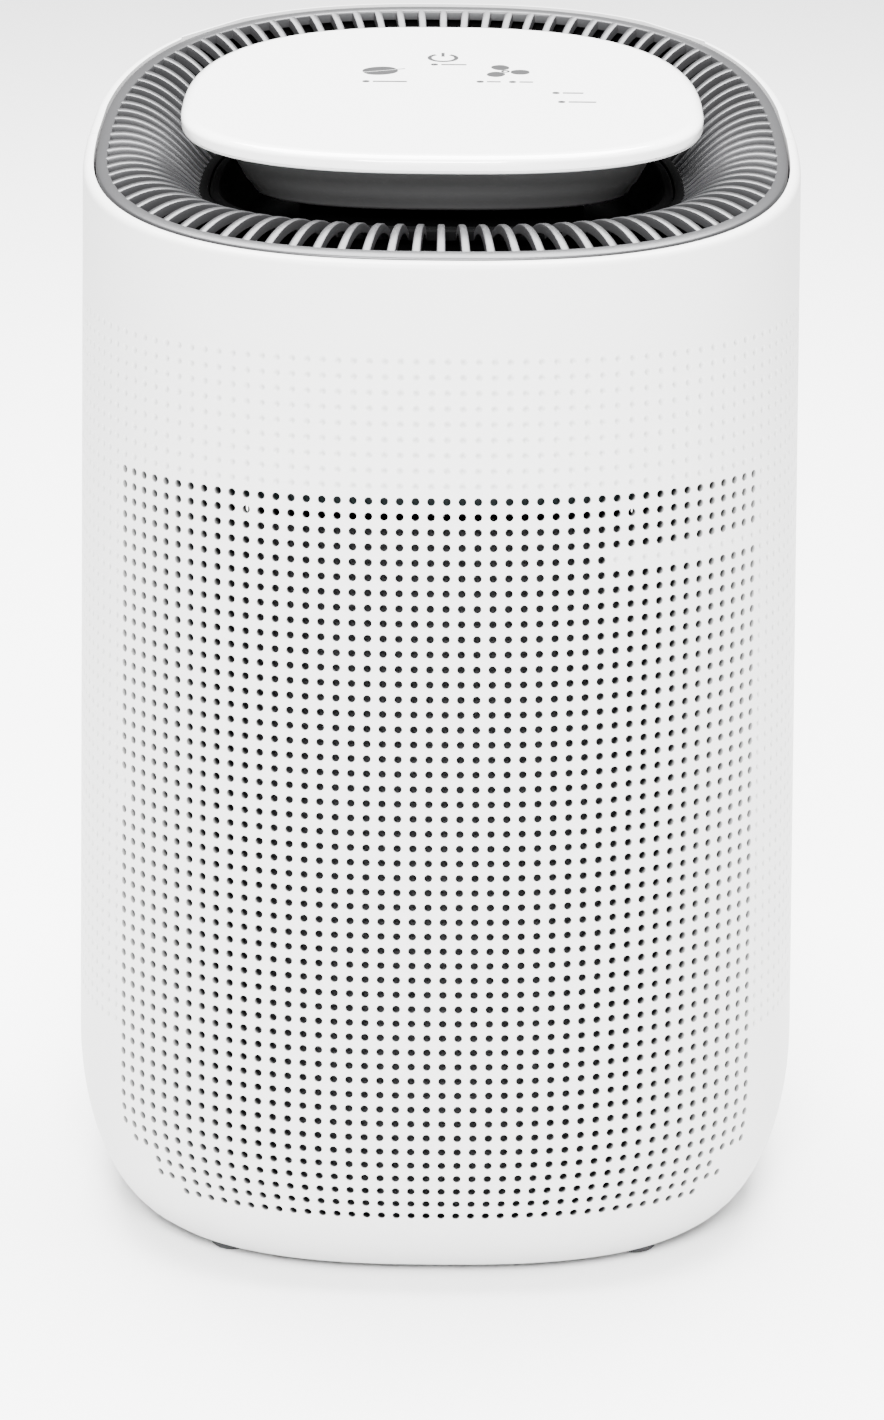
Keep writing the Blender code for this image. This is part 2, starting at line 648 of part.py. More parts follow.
# ---------------------------------------------------------------- base
def build_base():
    low = SHELL_FLOOR + WALL + GAP
    top = low + PAN_THICK
    side = WALL + GAP
    pan = loft("base_pan", [level_ring(low, side), level_ring(top, side)], "black_plastic")
    rail_top = TANK_LOW - GAP
    for sign in (-1, 1):
        x = sign * RAIL_X
        add(pan, box(f"rail_{sign}", (x - RAIL_HALF_WIDTH, TANK_FRONT, low + GAP),
                     (x + RAIL_HALF_WIDTH, RAIL_BACK, rail_top)))
        for y in POST_YS:
            x = sign * POST_X
            add(pan, box(f"post_{sign}_{y}", (x - POST_SIDE / 2, y - POST_SIDE / 2, low + GAP),
                         (x + POST_SIDE / 2, y + POST_SIDE / 2, DECK_LOW - GAP)))
        x = sign * BOARD_POST_X
        back = POWER_BOARD[1][1] + GAP
        add(pan, box(f"board_post_{sign}", (x - BOARD_POST_SIDE / 2, back, low + GAP),
                     (x + BOARD_POST_SIDE / 2, back + BOARD_POST_SIDE, POWER_BOARD[1][2] - PAST)))
    return pan


def base_spots(marks, inset):
    return {key: section_point(unit, 0, inset).xy for key, unit in zip(marks, unit_points(marks.values()))}


def build_feet():
    for key, spot in base_spots(FOOT_MARKS, FOOT_INSET).items():
        profile = [(0, SHELL_FLOOR - GAP), (FOOT_RADIUS, SHELL_FLOOR - GAP), (FOOT_RADIUS, 0.0005),
                   (FOOT_RADIUS - 0.0005, 0), (0, 0)]
        foot = turned(f"foot_{key}", profile, "rubber", 20)
        foot.location = (*spot, 0)


def build_base_screws(pan, shells):
    """Screws from below, through the shells' flange and into the pan's bosses."""
    head_low = SHELL_FLOOR + GAP
    thread_low = head_low + SCREW_HEAD_HEIGHT
    for key, spot in base_spots(SCREW_MARKS, FOOT_INSET).items():
        profile = [(0, head_low + SCREW_LENGTH), (SCREW_RADIUS, head_low + SCREW_LENGTH),
                   (SCREW_RADIUS, thread_low), (SCREW_HEAD_RADIUS, thread_low), (SCREW_HEAD_RADIUS, head_low),
                   (0, head_low)]
        screw = turned(f"base_screw_{key}", profile, "steel", SCREW_FACETS)
        screw.location = (*spot, 0)
        boss_low = SHELL_FLOOR + WALL + 2 * GAP
        boss = rod(f"boss_{key}", BOSS_RADIUS, (*spot, boss_low), (*spot, boss_low + PAN_THICK + BOSS_HEIGHT))
        drill = rod(f"drill_{key}", SCREW_RADIUS + SCREW_PLAY, (*spot, -PAST),
                    (*spot, thread_low + SCREW_LENGTH + PAST))
        sink = rod(f"sink_{key}", SCREW_HEAD_RADIUS + SCREW_PLAY, (*spot, -PAST), (*spot, thread_low + GAP))
        cut(add(pan, boss), drill)
        cut(shells["front_shell" if key.startswith("front") else "rear_shell"], drill, sink)


# ---------------------------------------------------------------- water tank
def build_tank(shells):
    skin = skin_solid("tank_skin", 0)
    body = box("water_tank", (-TANK_HALF, TANK_FRONT, TANK_LOW), (TANK_HALF, FAR, TANK_TOP), "clear_tank")
    keep(body, skin_solid("tank_body_form", WALL - TANK_PLAY))
    face = box("tank_face", (-TANK_FACE_HALF, REAR_START, TANK_FACE_LOW), (TANK_FACE_HALF, FAR, TANK_FACE_TOP))
    keep(face, skin)
    cut(face, skin_solid("tank_face_inside", WALL))
    add(body, face)
    inside = box("tank_cavity", (-TANK_HALF + TANK_WALL, TANK_FRONT + TANK_WALL, TANK_LOW + TANK_WALL),
                 (TANK_HALF - TANK_WALL, FAR, TANK_TOP + PAST))
    keep(inside, skin_solid("tank_cavity_form", WALL + TANK_WALL))
    pocket = back_of_skin(GRIP_TOP) - GRIP_DEPTH
    cut(inside, box("grip_block", (-GRIP_HALF - TANK_WALL, pocket - TANK_WALL, GRIP_LOW - TANK_WALL),
                    (GRIP_HALF + TANK_WALL, FAR, GRIP_TOP + TANK_WALL)))
    cut(body, inside)
    cut(body, box("grip_pocket", (-GRIP_HALF, pocket, GRIP_LOW), (GRIP_HALF, FAR, GRIP_TOP)))
    add_float_lugs(body)
    clear = PANEL_GAP
    window = box("tank_window", (-TANK_FACE_HALF - clear, REAR_START, TANK_FACE_LOW - clear),
                 (TANK_FACE_HALF + clear, FAR, TANK_FACE_TOP + clear))
    cut(shells["rear_shell"], window)
    return body


def back_of_skin(height):
    return CENTRE_Y + REAR_DEPTH * scale_at(height) - foot_inset(height)


def add_float_lugs(body):
    wall = TANK_FRONT + TANK_WALL
    low, high = FLOAT_X
    for number, x in enumerate((low - LUG_THICK, high)):
        lug = box(f"float_lug_{number}", (x, wall - LAP, FLOAT_PIN_Z - LUG_HALF),
                  (x + LUG_THICK, wall + LUG_REACH, FLOAT_PIN_Z + LUG_HALF))
        add(body, lug)
    cut(body, rod("float_pin_drill", FLOAT_PIN_RADIUS + PIN_PLAY, (low - LUG_THICK - LAP, FLOAT_PIN_Y, FLOAT_PIN_Z),
                  (high + LUG_THICK + LAP, FLOAT_PIN_Y, FLOAT_PIN_Z), axis="X"))


def build_lid():
    low = TANK_TOP + GAP
    lid = box("tank_lid", (-TANK_HALF, TANK_FRONT, low), (TANK_HALF, FAR, low + LID_THICK), "grey_plastic")
    keep(lid, skin_solid("lid_form", WALL + GAP))
    cut(lid, rod("fill_hole", FILL_RADIUS, (0, FILL_Y, low - PAST), (0, FILL_Y, low + PAST)))
    drain = rod("drain_hole", PLUG_RADIUS + GAP, (*PLUG_PLACE, low - PAST), (*PLUG_PLACE, low + PAST))
    return cut(lid, drain)


def build_plug():
    top = TANK_TOP + LID_THICK + 2 * GAP
    profile = [(0, top + PLUG_HEAD), (PLUG_HEAD_RADIUS - 0.001, top + PLUG_HEAD),
               (PLUG_HEAD_RADIUS, top + PLUG_HEAD - 0.001), (PLUG_HEAD_RADIUS, top), (PLUG_RADIUS, top),
               (PLUG_RADIUS, TANK_TOP - 0.001), (PLUG_RADIUS - 0.001, TANK_TOP - 0.003), (0, TANK_TOP - 0.003)]
    plug = turned("tank_plug", profile, "rubber", 24)
    plug.location = (*PLUG_PLACE, 0)


def build_float():
    low, high = FLOAT_X
    middle = (low + high) / 2
    floater = box("float_arm", *FLOAT_BOX, "ceramic")
    left, right = middle - ARM_HALF, middle + ARM_HALF
    front, back = FLOAT_BOX[0][1] + DROP_Y[0], FLOAT_BOX[0][1] + DROP_Y[1]
    arm = box("float_bar", (left, FLOAT_PIN_Y, FLOAT_PIN_Z - ARM_RISE), (right, back, FLOAT_PIN_Z + ARM_RISE))
    drop = box("float_drop", (left, front, FLOAT_BOX[1][2] - LAP), (right, back, FLOAT_PIN_Z + LAP))
    sleeve = rod("float_sleeve", FLOAT_SLEEVE, (low + GAP, FLOAT_PIN_Y, FLOAT_PIN_Z),
                 (high - GAP, FLOAT_PIN_Y, FLOAT_PIN_Z), axis="X")
    bore = rod("float_bore", FLOAT_PIN_RADIUS + PIN_PLAY, (low - PAST, FLOAT_PIN_Y, FLOAT_PIN_Z),
               (high + PAST, FLOAT_PIN_Y, FLOAT_PIN_Z), axis="X")
    cut(add(floater, drop, arm, sleeve), bore)
    rod("float_pin", FLOAT_PIN_RADIUS, (low - LUG_THICK + GAP, FLOAT_PIN_Y, FLOAT_PIN_Z),
        (high + LUG_THICK - GAP, FLOAT_PIN_Y, FLOAT_PIN_Z), "steel", SCREW_FACETS, axis="X")
    y, z = FLOAT_BOX[1][1] - MAGNET_BACK, FLOAT_BOX[1][2] + GAP
    rod("float_magnet", MAGNET_RADIUS, (middle, y, z), (middle, y, z + MAGNET_HEIGHT), "steel", SCREW_FACETS)
    top = DECK_LOW - GAP
    across, along = REED_HALF
    box("reed_switch", (middle - across, y - along, top - REED_THICK), (middle + across, y + along, top),
        "black_plastic")


# ---------------------------------------------------------------- inner frame, stack and tray
def build_inner_frame():
    top = DECK_LOW + DECK_THICK
    frame = box("inner_frame", (-DECK_HALF, DECK_FRONT, DECK_LOW), (DECK_HALF, DECK_BACK, top), "black_plastic")
    back = filter_front() - FILTER_BEHIND
    add(frame, box("deck_tail", (-DUCT_HALF, DECK_BACK - LAP, DECK_LOW), (DUCT_HALF, back, top)))
    for sign in (-1, 1):
        ends = sorted((sign * (DUCT_HALF - DUCT_WALL), sign * DUCT_HALF))
        add(frame, box(f"duct_wall_{sign}", (ends[0], DECK_FRONT, DECK_LOW + GAP), (ends[1], back, DUCT_TOP)))
    drill = rod("spout_hole", SPOUT_RADIUS + SPOUT_PLAY, (0, FILL_Y, DECK_LOW - PAST), (0, FILL_Y, DECK_LOW + PAST))
    return cut(frame, drill)


def build_sink(name, sink, face, sign):
    """A plate whose face is at the given Y, with a row of fins on its far side."""
    half, low, top = sink["half"], sink["low"], sink["top"]
    near, far = sorted((face, face + sign * SINK_PLATE))
    plate = box(name, (-half, near, low), (half, far, top), "aluminium")
    root = face + sign * (SINK_PLATE - LAP)
    ends = sorted((root, face + sign * (SINK_PLATE + sink["fin"])))
    fins = box(f"{name}_fins", (-half, ends[0], low), (-half + sink["thick"], ends[1], top))
    row = fins.modifiers.new("row", "ARRAY")
    row.count = sink["count"]
    row.use_relative_offset = False
    row.use_constant_offset = True
    row.constant_offset_displace = ((2 * half - sink["thick"]) / (sink["count"] - 1), 0, 0)
    return add(plate, fins)


def build_stack():
    """Cold sink, modules in their foam frame, and hot sink, clamped by two screws."""
    half_module = MODULE_THICK / 2
    hot_face = STACK_Y + half_module + GAP
    cold_face = STACK_Y - half_module - GAP
    clamped = [build_sink("hot_sink", HOT_SINK, hot_face, 1), build_sink("cold_sink", COLD_SINK, cold_face, -1)]
    frame = box("insulation_frame", (-COLD_SINK["half"], STACK_Y - half_module, COLD_SINK["low"]),
                (COLD_SINK["half"], STACK_Y + half_module, COLD_SINK["top"]), "foam")
    side = MODULE_SIDE / 2
    for key, x in (("left", -MODULE_X), ("right", MODULE_X)):
        box(f"peltier_{key}", (x - side, STACK_Y - half_module, MODULE_Z - side),
            (x + side, STACK_Y + half_module, MODULE_Z + side), "ceramic")
        room = side + GAP
        cut(frame, box(f"module_window_{key}", (x - room, STACK_Y - PAST, MODULE_Z - room),
                       (x + room, STACK_Y + PAST, MODULE_Z + room)))
    head_face = cold_face - SINK_PLATE - GAP
    tip = hot_face + SINK_PLATE
    for key, z in SINK_SCREW_ZS.items():
        drill = rod(f"clamp_drill_{key}", SCREW_RADIUS + SCREW_PLAY, (0, head_face, z), (0, tip + LAP, z),
                    axis="Y")
        for piece in (*clamped, frame):
            cut(piece, drill)
        screw = rod(f"sink_screw_{key}", SCREW_RADIUS, (0, head_face - LAP, z), (0, tip, z), "steel",
                    SCREW_FACETS, axis="Y")
        add(screw, rod(f"sink_screw_head_{key}", SINK_SCREW_HEAD, (0, head_face - SCREW_HEAD_HEIGHT, z),
                       (0, head_face, z), facets=SCREW_FACETS, axis="Y"))


def build_tray():
    """The tray under the cold sink, with a spout down to the tank's fill hole."""
    back = STACK_Y - MODULE_THICK / 2 - GAP
    low, top = TRAY_LOW, TRAY_LOW + TRAY_HEIGHT
    tray = box("drip_tray", (-TRAY_HALF, TRAY_FRONT, low), (TRAY_HALF, back, top), "grey_plastic")
    add(tray, rod("spout", SPOUT_RADIUS, (0, FILL_Y, SPOUT_END), (0, FILL_Y, low + LAP)))
    wall = TRAY_WALL
    cut(tray, box("tray_cavity", (-TRAY_HALF + wall, TRAY_FRONT + wall, low + wall),
                  (TRAY_HALF - wall, back - wall, top + PAST)))
    return cut(tray, rod("spout_bore", SPOUT_BORE, (0, FILL_Y, SPOUT_END - PAST), (0, FILL_Y, top)))


# ---------------------------------------------------------------- fan
def build_fan():
    low = FAN_PLATE_LOW
    plate = loft("fan_plate", [level_ring(low, WALL + GAP), level_ring(low + FAN_PLATE_THICK, WALL + GAP)],
                 "black_plastic")
    cut(plate, rod("plate_bore", FAN_BORE, (0, FAN_Y, low - PAST), (0, FAN_Y, low + PAST), facets=40))
    cut(plate, rod("plate_cable_hole", CABLE_HOLE, (0, CABLE_FALL_Y, low - PAST), (0, CABLE_FALL_Y, low + PAST)))
    base = low + FAN_PLATE_THICK + GAP
    top = base + FAN_HEIGHT
    half = FAN_SIDE / 2
    housing = box("fan_housing", (-half, FAN_Y - half, base), (half, FAN_Y + half, top), "black_plastic")
    cut(housing, rod("housing_bore", FAN_BORE, (0, FAN_Y, base - PAST), (0, FAN_Y, top + PAST), facets=40))
    disc_top = base + MOTOR_DISC_THICK
    add(housing, rod("motor_disc", MOTOR_DISC_RADIUS, (0, FAN_Y, base), (0, FAN_Y, disc_top)))
    reach = FAN_BORE + LAP
    for number in range(4):
        spoke = box(f"spoke_{number}", (MOTOR_DISC_RADIUS - LAP, -SPOKE_WIDTH / 2, 0),
                    (reach, SPOKE_WIDTH / 2, disc_top - base))
        spoke.data.transform(Matrix.Translation(spoke.location))
        spoke.location = (0, FAN_Y, base)
        spoke.rotation_euler = (0, 0, math.radians(45 + 90 * number))
        add(housing, spoke)
    cut(housing, rod("bearing_seat", BEARING_RADIUS + GAP, (0, FAN_Y, base - PAST), (0, FAN_Y, top)))
    build_motor(base, disc_top)


def build_motor(base, disc_top):
    bearing_low = base + 0.0005
    shaft_bore = SHAFT_RADIUS + RUNNING_GAP
    ring = [(shaft_bore, BEARING_HEIGHT), (BEARING_RADIUS, BEARING_HEIGHT), (BEARING_RADIUS, 0), (shaft_bore, 0)]
    bearing = turned("fan_bearing", ring, "brass", 24)
    bearing.location = (0, FAN_Y, bearing_low)
    inner = BEARING_RADIUS + GAP
    stator_low = disc_top + GAP
    coil = [(inner, STATOR_HEIGHT), (STATOR_RADIUS, STATOR_HEIGHT), (STATOR_RADIUS, 0), (inner, 0)]
    stator = turned("fan_stator", coil, "copper", 24)
    stator.location = (0, FAN_Y, stator_low)
    hub_low = disc_top + 0.0010
    hub_top = hub_low + HUB_HEIGHT
    outer, room = HUB_RADIUS, HUB_RADIUS - HUB_WALL
    roof = HUB_HEIGHT - HUB_WALL
    cup = [(0, HUB_HEIGHT), (outer - HUB_WALL, HUB_HEIGHT), (outer, HUB_HEIGHT - HUB_WALL), (outer, 0),
           (room, 0), (room, roof), (0, roof)]
    hub = turned("fan_rotor", cup, "black_plastic", 32)
    hub.location = (0, FAN_Y, hub_low)
    for number in range(BLADE_COUNT):
        add(hub, build_blade(number, hub_low + HUB_HEIGHT / 2))
    drill_low = hub_top - HUB_WALL
    seat = rod("shaft_seat", SHAFT_RADIUS + 0.0003, (0, FAN_Y, drill_low - 0.002), (0, FAN_Y, hub_top - 0.0007),
               facets=SCREW_FACETS)
    cut(hub, seat)
    rod("fan_shaft", SHAFT_RADIUS, (0, FAN_Y, bearing_low + 0.0006), (0, FAN_Y, hub_top - 0.0010), "steel",
        SCREW_FACETS)


def build_blade(number, height):
    """A twisted blade: a thin slab whose pitch eases from the hub to the tip."""
    bm = bmesh.new()
    bmesh.ops.create_grid(bm, x_segments=4, y_segments=2, size=0.5)
    inner, outer = HUB_RADIUS - 0.0012, ROTOR_RADIUS
    for vertex in bm.verts:
        share = vertex.co.x + 0.5
        radius = inner + (outer - inner) * share
        pitch = BLADE_PITCH * (1 - 0.35 * share)
        chord = BLADE_CHORD * (0.50 + 0.50 * share) * vertex.co.y
        angle = chord * math.cos(pitch) / radius
        vertex.co = Vector((radius * math.cos(angle), radius * math.sin(angle), chord * math.sin(pitch)))
    blade = from_bmesh(f"blade_{number}", bm)
    thick = blade.modifiers.new("thickness", "SOLIDIFY")
    thick.thickness = BLADE_THICK
    thick.offset = 0
    blade.location = (0, FAN_Y, height)
    blade.rotation_euler = (0, 0, 2 * math.pi * number / BLADE_COUNT)
    return blade


# ---------------------------------------------------------------- filter door
def hinge_ends():
    """The hinge axis in the middle of the wall, from the door's lower edge to its upper edge."""
    ends = []
    for height in (DOOR_LOW, DOOR_TOP):
        ends.append(Vector((HINGE_X, back_at(HINGE_X, height, WALL / 2), height)))
    return ends


def along_hinge(name, radius, start, end, finish=None, facets=24):
    """A rod about the hinge axis, between two distances from its lower end."""
    low, high = hinge_ends()
    direction = (high - low).normalized()
    piece = rod(name, radius, (0, 0, start), (0, 0, end), finish, facets)
    piece.location = low + direction * (start + end) / 2
    piece.rotation_euler = direction.to_track_quat("Z", "Y").to_euler()
    return piece


def build_door(shells):
    door = box("filter_door", (-DOOR_HALF, REAR_START, DOOR_LOW), (DOOR_HALF, FAR, DOOR_TOP), "white_plastic")
    keep(door, skin_solid("door_skin", 0))
    cut(door, skin_solid("door_inside", WALL))
    shell = shells["rear_shell"]
    clear = PANEL_GAP
    cut(shell, box("door_window", (-DOOR_HALF - clear, REAR_START, DOOR_LOW - clear),
                   (DOOR_HALF + clear, FAR, DOOR_TOP + clear)))
    low, high = hinge_ends()
    span = (high - low).length
    knuckle, gap = KNUCKLE_LENGTH, KNUCKLE_GAP
    places = {"lower": (0, 1), "upper": (span, -1)}
    for key, (edge, inward) in places.items():
        mine = sorted((edge + inward * gap, edge + inward * (gap + knuckle)))
        theirs = sorted((edge - inward * gap, edge - inward * (gap + knuckle)))
        room = sorted((edge - inward * gap, edge + inward * (2 * gap + knuckle)))
        add(door, along_hinge(f"door_knuckle_{key}", KNUCKLE_RADIUS, *mine))
        cut(shell, along_hinge(f"knuckle_room_{key}", KNUCKLE_RADIUS + clear, *room))
        add(shell, along_hinge(f"shell_knuckle_{key}", KNUCKLE_RADIUS, *theirs))
        reach = sorted((edge - inward * (gap + knuckle - LAP), edge + inward * (gap + knuckle - LAP)))
        drill = along_hinge(f"pin_drill_{key}", PIN_RADIUS + PIN_PLAY, *reach)
        cut(door, drill)
        cut(shell, drill)
        along_hinge(f"door_pin_{key}", PIN_RADIUS, reach[0] + GAP, reach[1] - GAP, "steel", SCREW_FACETS)
    lip_back = back_at(LIP_X[1], LIP_Z[0], 0) + LIP_OUT
    lip = box("door_lip", (LIP_X[0], REAR_START, LIP_Z[0]), (LIP_X[1], lip_back, LIP_Z[1]))
    cut(lip, skin_solid("lip_inside", WALL / 2))
    add(door, lip)
    for side in (-1, 1):
        near, far = FILTER_HALF + GAP, FILTER_HALF + GAP + WALL / 2
        ends = sorted((side * near, side * far))
        start = back_at(far, DOOR_TOP, WALL) - CLIP_DEEP
        for number, low_z in enumerate(CLIP_ZS):
            clip = box(f"clip_{side}_{number}", (ends[0], start, low_z), (ends[1], FAR, low_z + CLIP_HEIGHT))
            add(door, keep(clip, skin_solid(f"clip_reach_{side}_{number}", WALL / 2)))
    for owner, key in ((door, "door"), (shell, "shell")):
        near, far = CATCH_XS[key], CATCH_XS[key] + CATCH_WIDE
        back = back_at(far, CATCH_Z[1], WALL) - CATCH_SETBACK
        box(f"{key}_magnet", (near, back - CATCH_DEEP, CATCH_Z[0]), (far, back, CATCH_Z[1]), "steel")
        post = box(f"{key}_magnet_post", (near, back + GAP, CATCH_Z[0]), (far, FAR, CATCH_Z[1]))
        add(owner, keep(post, skin_solid(f"{key}_post_reach", WALL / 2)))
    return door


def build_filter():
    low_y = filter_front()
    high_y = low_y + FILTER_DEEP
    frame = box("filter_frame", (-FILTER_HALF, low_y, FILTER_LOW), (FILTER_HALF, high_y, FILTER_TOP),
                "grey_plastic")
    wall = FILTER_WALL
    cut(frame, box("filter_room", (-FILTER_HALF + wall, low_y - PAST, FILTER_LOW + wall),
                   (FILTER_HALF - wall, high_y + PAST, FILTER_TOP - wall)))
    half = FILTER_HALF - wall - GAP
    front = low_y + LAP
    step = 2 * half / (2 * PLEAT_COUNT)
    ridge = []
    for number in range(2 * PLEAT_COUNT + 1):
        ridge.append((-half + number * step, front + (PLEAT_DEPTH if number % 2 else 0)))
    thick = PLEAT_THICK * math.hypot(step, PLEAT_DEPTH) / step
    points = ridge + [(x, y + thick) for x, y in reversed(ridge)]
    height = FILTER_TOP - FILTER_LOW - 2 * wall - 2 * GAP
    pleats = flat_outline("hepa_pleats", points, height, "paper")
    pleats.location = (0, 0, (FILTER_LOW + FILTER_TOP) / 2)
    back = high_y - GAP
    box("carbon_sheet", (-half, back - CARBON_THICK, FILTER_LOW + wall + GAP),
        (half, back, FILTER_TOP - wall - GAP), "carbon")


# ---------------------------------------------------------------- electrics and screen
def build_power_board():
    board = box("power_board", *POWER_BOARD, "board_green")
    back = POWER_BOARD[0][1] + BOARD_LAP
    for name, can in (("capacitor", CAPACITOR), ("coil", COIL)):
        x, z = can["x"], can["z"]
        add(board, rod(name, can["radius"], (x, back - can["long"], z), (x, back, z), axis="Y"))
    for name, (low, high, deep) in (("regulator", REGULATOR), ("plug_block", PLUG_BLOCK)):
        add(board, box(name, (low[0], back - deep, low[1]), (high[0], back, high[1])))
    return board


def build_socket(shells):
    """The low-voltage socket, square to the skin at the lower right of the back."""
    marks = np.linspace(0.25, 0.50, 1001)
    across = [section_point(unit, SOCKET_Z, foot_inset(SOCKET_Z)).x for unit in unit_points(marks)]
    mark = np.interp(-TANK_FACE_HALF - SOCKET_BESIDE, -np.array(across), marks)
    spot, angle = outline_frame(mark, SOCKET_Z, 0)
    half = SOCKET_SIDE / 2
    turn = (0, 0, angle)
    socket = box("dc_socket", (-SOCKET_DEPTH - SOCKET_RECESS, -half, -half), (-SOCKET_RECESS, half, half),
                 "black_plastic")
    socket.data.transform(Matrix.Translation(socket.location))
    socket.location, socket.rotation_euler = spot, turn
    deep = -SOCKET_BORE_DEPTH
    profile = [(SOCKET_PIN, PAST), (SOCKET_BORE, PAST), (SOCKET_BORE, deep), (SOCKET_PIN, deep)]
    ring = turned("socket_ring", profile, facets=20)
    lie_down = Matrix.Rotation(math.pi / 2, 4, "Y")
    ring.matrix_world = Matrix.Translation(spot) @ Matrix.Rotation(angle, 4, "Z") @ Matrix.Translation(
        (-SOCKET_RECESS, 0, 0)) @ lie_down
    cut(socket, ring)
    room = half + GAP
    window = box("socket_window", (-SOCKET_DEPTH - PAST, -room, -room), (2 * PAST, room, room))
    window.data.transform(Matrix.Translation(window.location))
    window.location, window.rotation_euler = spot, turn
    cut(shells["rear_shell"], window)


def build_dust_screen():
    """A dark mesh sheet close behind the holes of the front."""
    heights = [0.020, 0.029, 0.039, CURVE_HEIGHT, 0.140, FAN_PLATE_LOW - 0.004]
    near, far = WALL + SCREEN_BEHIND, WALL + SCREEN_BEHIND + SCREEN_THICK
    rings = [level_ring(height, near) for height in heights]
    rings += [level_ring(height, far) for height in reversed(heights)]
    screen = loft("dust_screen", rings, "carbon", hollow=True)
    return keep(screen, box("screen_front", (-FAR, -FAR, -FAR), (FAR, CENTRE_Y - 0.015, FAR)))


def main():
    clear_scene()
    shells = build_shells()
    build_grille()
    build_bowl()
    build_panel()
    build_pedestal()
    build_neck()
    build_controls()
    build_cable()
    pan = build_base()
    build_feet()
    build_base_screws(pan, shells)
    build_tank(shells)
    build_lid()
    build_plug()
    build_float()
    build_inner_frame()
    build_stack()
    build_tray()
    build_fan()
    build_door(shells)
    build_filter()
    build_power_board()
    build_socket(shells)
    build_dust_screen()


main()
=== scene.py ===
import json
import math

import bmesh
import bpy
import numpy as np
from mathutils import Matrix, Vector


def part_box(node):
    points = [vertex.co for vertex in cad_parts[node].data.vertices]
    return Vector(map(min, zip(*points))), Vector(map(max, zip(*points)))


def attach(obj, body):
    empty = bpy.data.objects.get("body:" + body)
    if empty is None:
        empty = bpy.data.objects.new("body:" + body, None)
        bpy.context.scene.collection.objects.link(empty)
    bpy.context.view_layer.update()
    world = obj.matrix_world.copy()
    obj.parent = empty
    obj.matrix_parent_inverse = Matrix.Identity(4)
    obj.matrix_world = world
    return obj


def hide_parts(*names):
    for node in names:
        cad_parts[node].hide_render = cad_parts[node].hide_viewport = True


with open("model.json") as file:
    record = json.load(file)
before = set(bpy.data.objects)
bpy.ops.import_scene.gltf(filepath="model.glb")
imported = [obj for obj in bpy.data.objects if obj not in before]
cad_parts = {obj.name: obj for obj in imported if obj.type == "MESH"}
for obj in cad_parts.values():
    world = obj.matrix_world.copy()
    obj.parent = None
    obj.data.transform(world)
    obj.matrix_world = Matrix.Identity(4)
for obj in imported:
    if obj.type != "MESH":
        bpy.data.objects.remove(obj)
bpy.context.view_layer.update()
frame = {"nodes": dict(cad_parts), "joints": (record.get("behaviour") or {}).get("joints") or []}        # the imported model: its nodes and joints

# Small upright dehumidifier. Metres, +Z up, the front faces -Y.
print("frame loaded:", len(frame["nodes"]), "nodes")

# the casing's surface, which most pieces follow
casing = {
    "halfWidth": 0.109, "frontDepth": 0.096, "rearDepth": 0.137, "squareness": 2.58,
    "topShare": 0.95, "rimHeight": 0.3085, "rimSlope": 0.138,
    "footHeight": 0.055, "footPull": 0.026, "wall": 0.003, "low": 0.0025,
    "flange": 0.034, "seamBehind": 0.009, "gap": 0.0004, "lipRound": 0.0022,
}
centreY = (casing["frontDepth"] - casing["rearDepth"]) / 2
seamY = centreY + casing["seamBehind"]

# Section table: a superellipse of unit half sizes, read by the share of its length from the front.
turn = np.linspace(0, 2 * np.pi, 5761)
tableX = np.sign(np.sin(turn)) * np.abs(np.sin(turn)) ** (2 / casing["squareness"])
tableY = -np.sign(np.cos(turn)) * np.abs(np.cos(turn)) ** (2 / casing["squareness"])
tableDepth = np.where(tableY < 0, casing["frontDepth"], casing["rearDepth"])
tableSteps = np.hypot(np.diff(tableX * casing["halfWidth"]), np.diff(tableY * tableDepth))
tableMark = np.concatenate([[0], np.cumsum(tableSteps)])
perimeter = tableMark[-1]
tableMark = tableMark / perimeter
halfTable = slice(0, len(turn) // 2 + 1)


def shareAt(height):
    return 1 - (1 - casing["topShare"]) * height / casing["rimHeight"]


def footPullAt(height):
    # a quarter of an ellipse below the foot's height
    rise = np.clip(1 - height / casing["footHeight"], 0, 1)
    return casing["footPull"] * (1 - np.sqrt(1 - rise * rise))


def unitAt(mark):
    return np.interp(mark % 1, tableMark, tableX), np.interp(mark % 1, tableMark, tableY)


def skin(mark, height, inset):
    # point = unit section point times (half size x taper - inset - foot pull), at its height
    mark, height, inset = np.broadcast_arrays(mark, height, inset)
    unitX, unitY = unitAt(mark)
    share, pull = shareAt(height), inset + footPullAt(height)
    depth = np.where(unitY < 0, casing["frontDepth"], casing["rearDepth"]) * share - pull
    return np.stack([unitX * (casing["halfWidth"] * share - pull), centreY + unitY * depth, height], axis=-1)


def rimHeightAt(y):
    # the rim rises in a straight line from its front to the back
    frontY = centreY - casing["frontDepth"] * casing["topShare"]
    return casing["rimHeight"] + casing["rimSlope"] * (y - frontY)


def rimAt(mark):
    return rimHeightAt(skin(mark, casing["rimHeight"], 0)[..., 1])


def markAtY(y, height, inset):
    # share of the section's length, on the +X side, where it passes a plane across Y
    pull = inset + footPullAt(height)
    depth = np.where(y < centreY, casing["frontDepth"], casing["rearDepth"]) * shareAt(height) - pull
    return np.interp((y - centreY) / depth, tableY[halfTable], tableMark[halfTable])


def markAtX(x, height, inset):
    # the same on the rear half, where it passes a plane across X
    unitX = x / (casing["halfWidth"] * shareAt(height) - inset - footPullAt(height))
    rear = slice(len(turn) // 4, len(turn) // 2 + 1)
    return np.interp(-unitX, -tableX[rear], tableMark[rear])


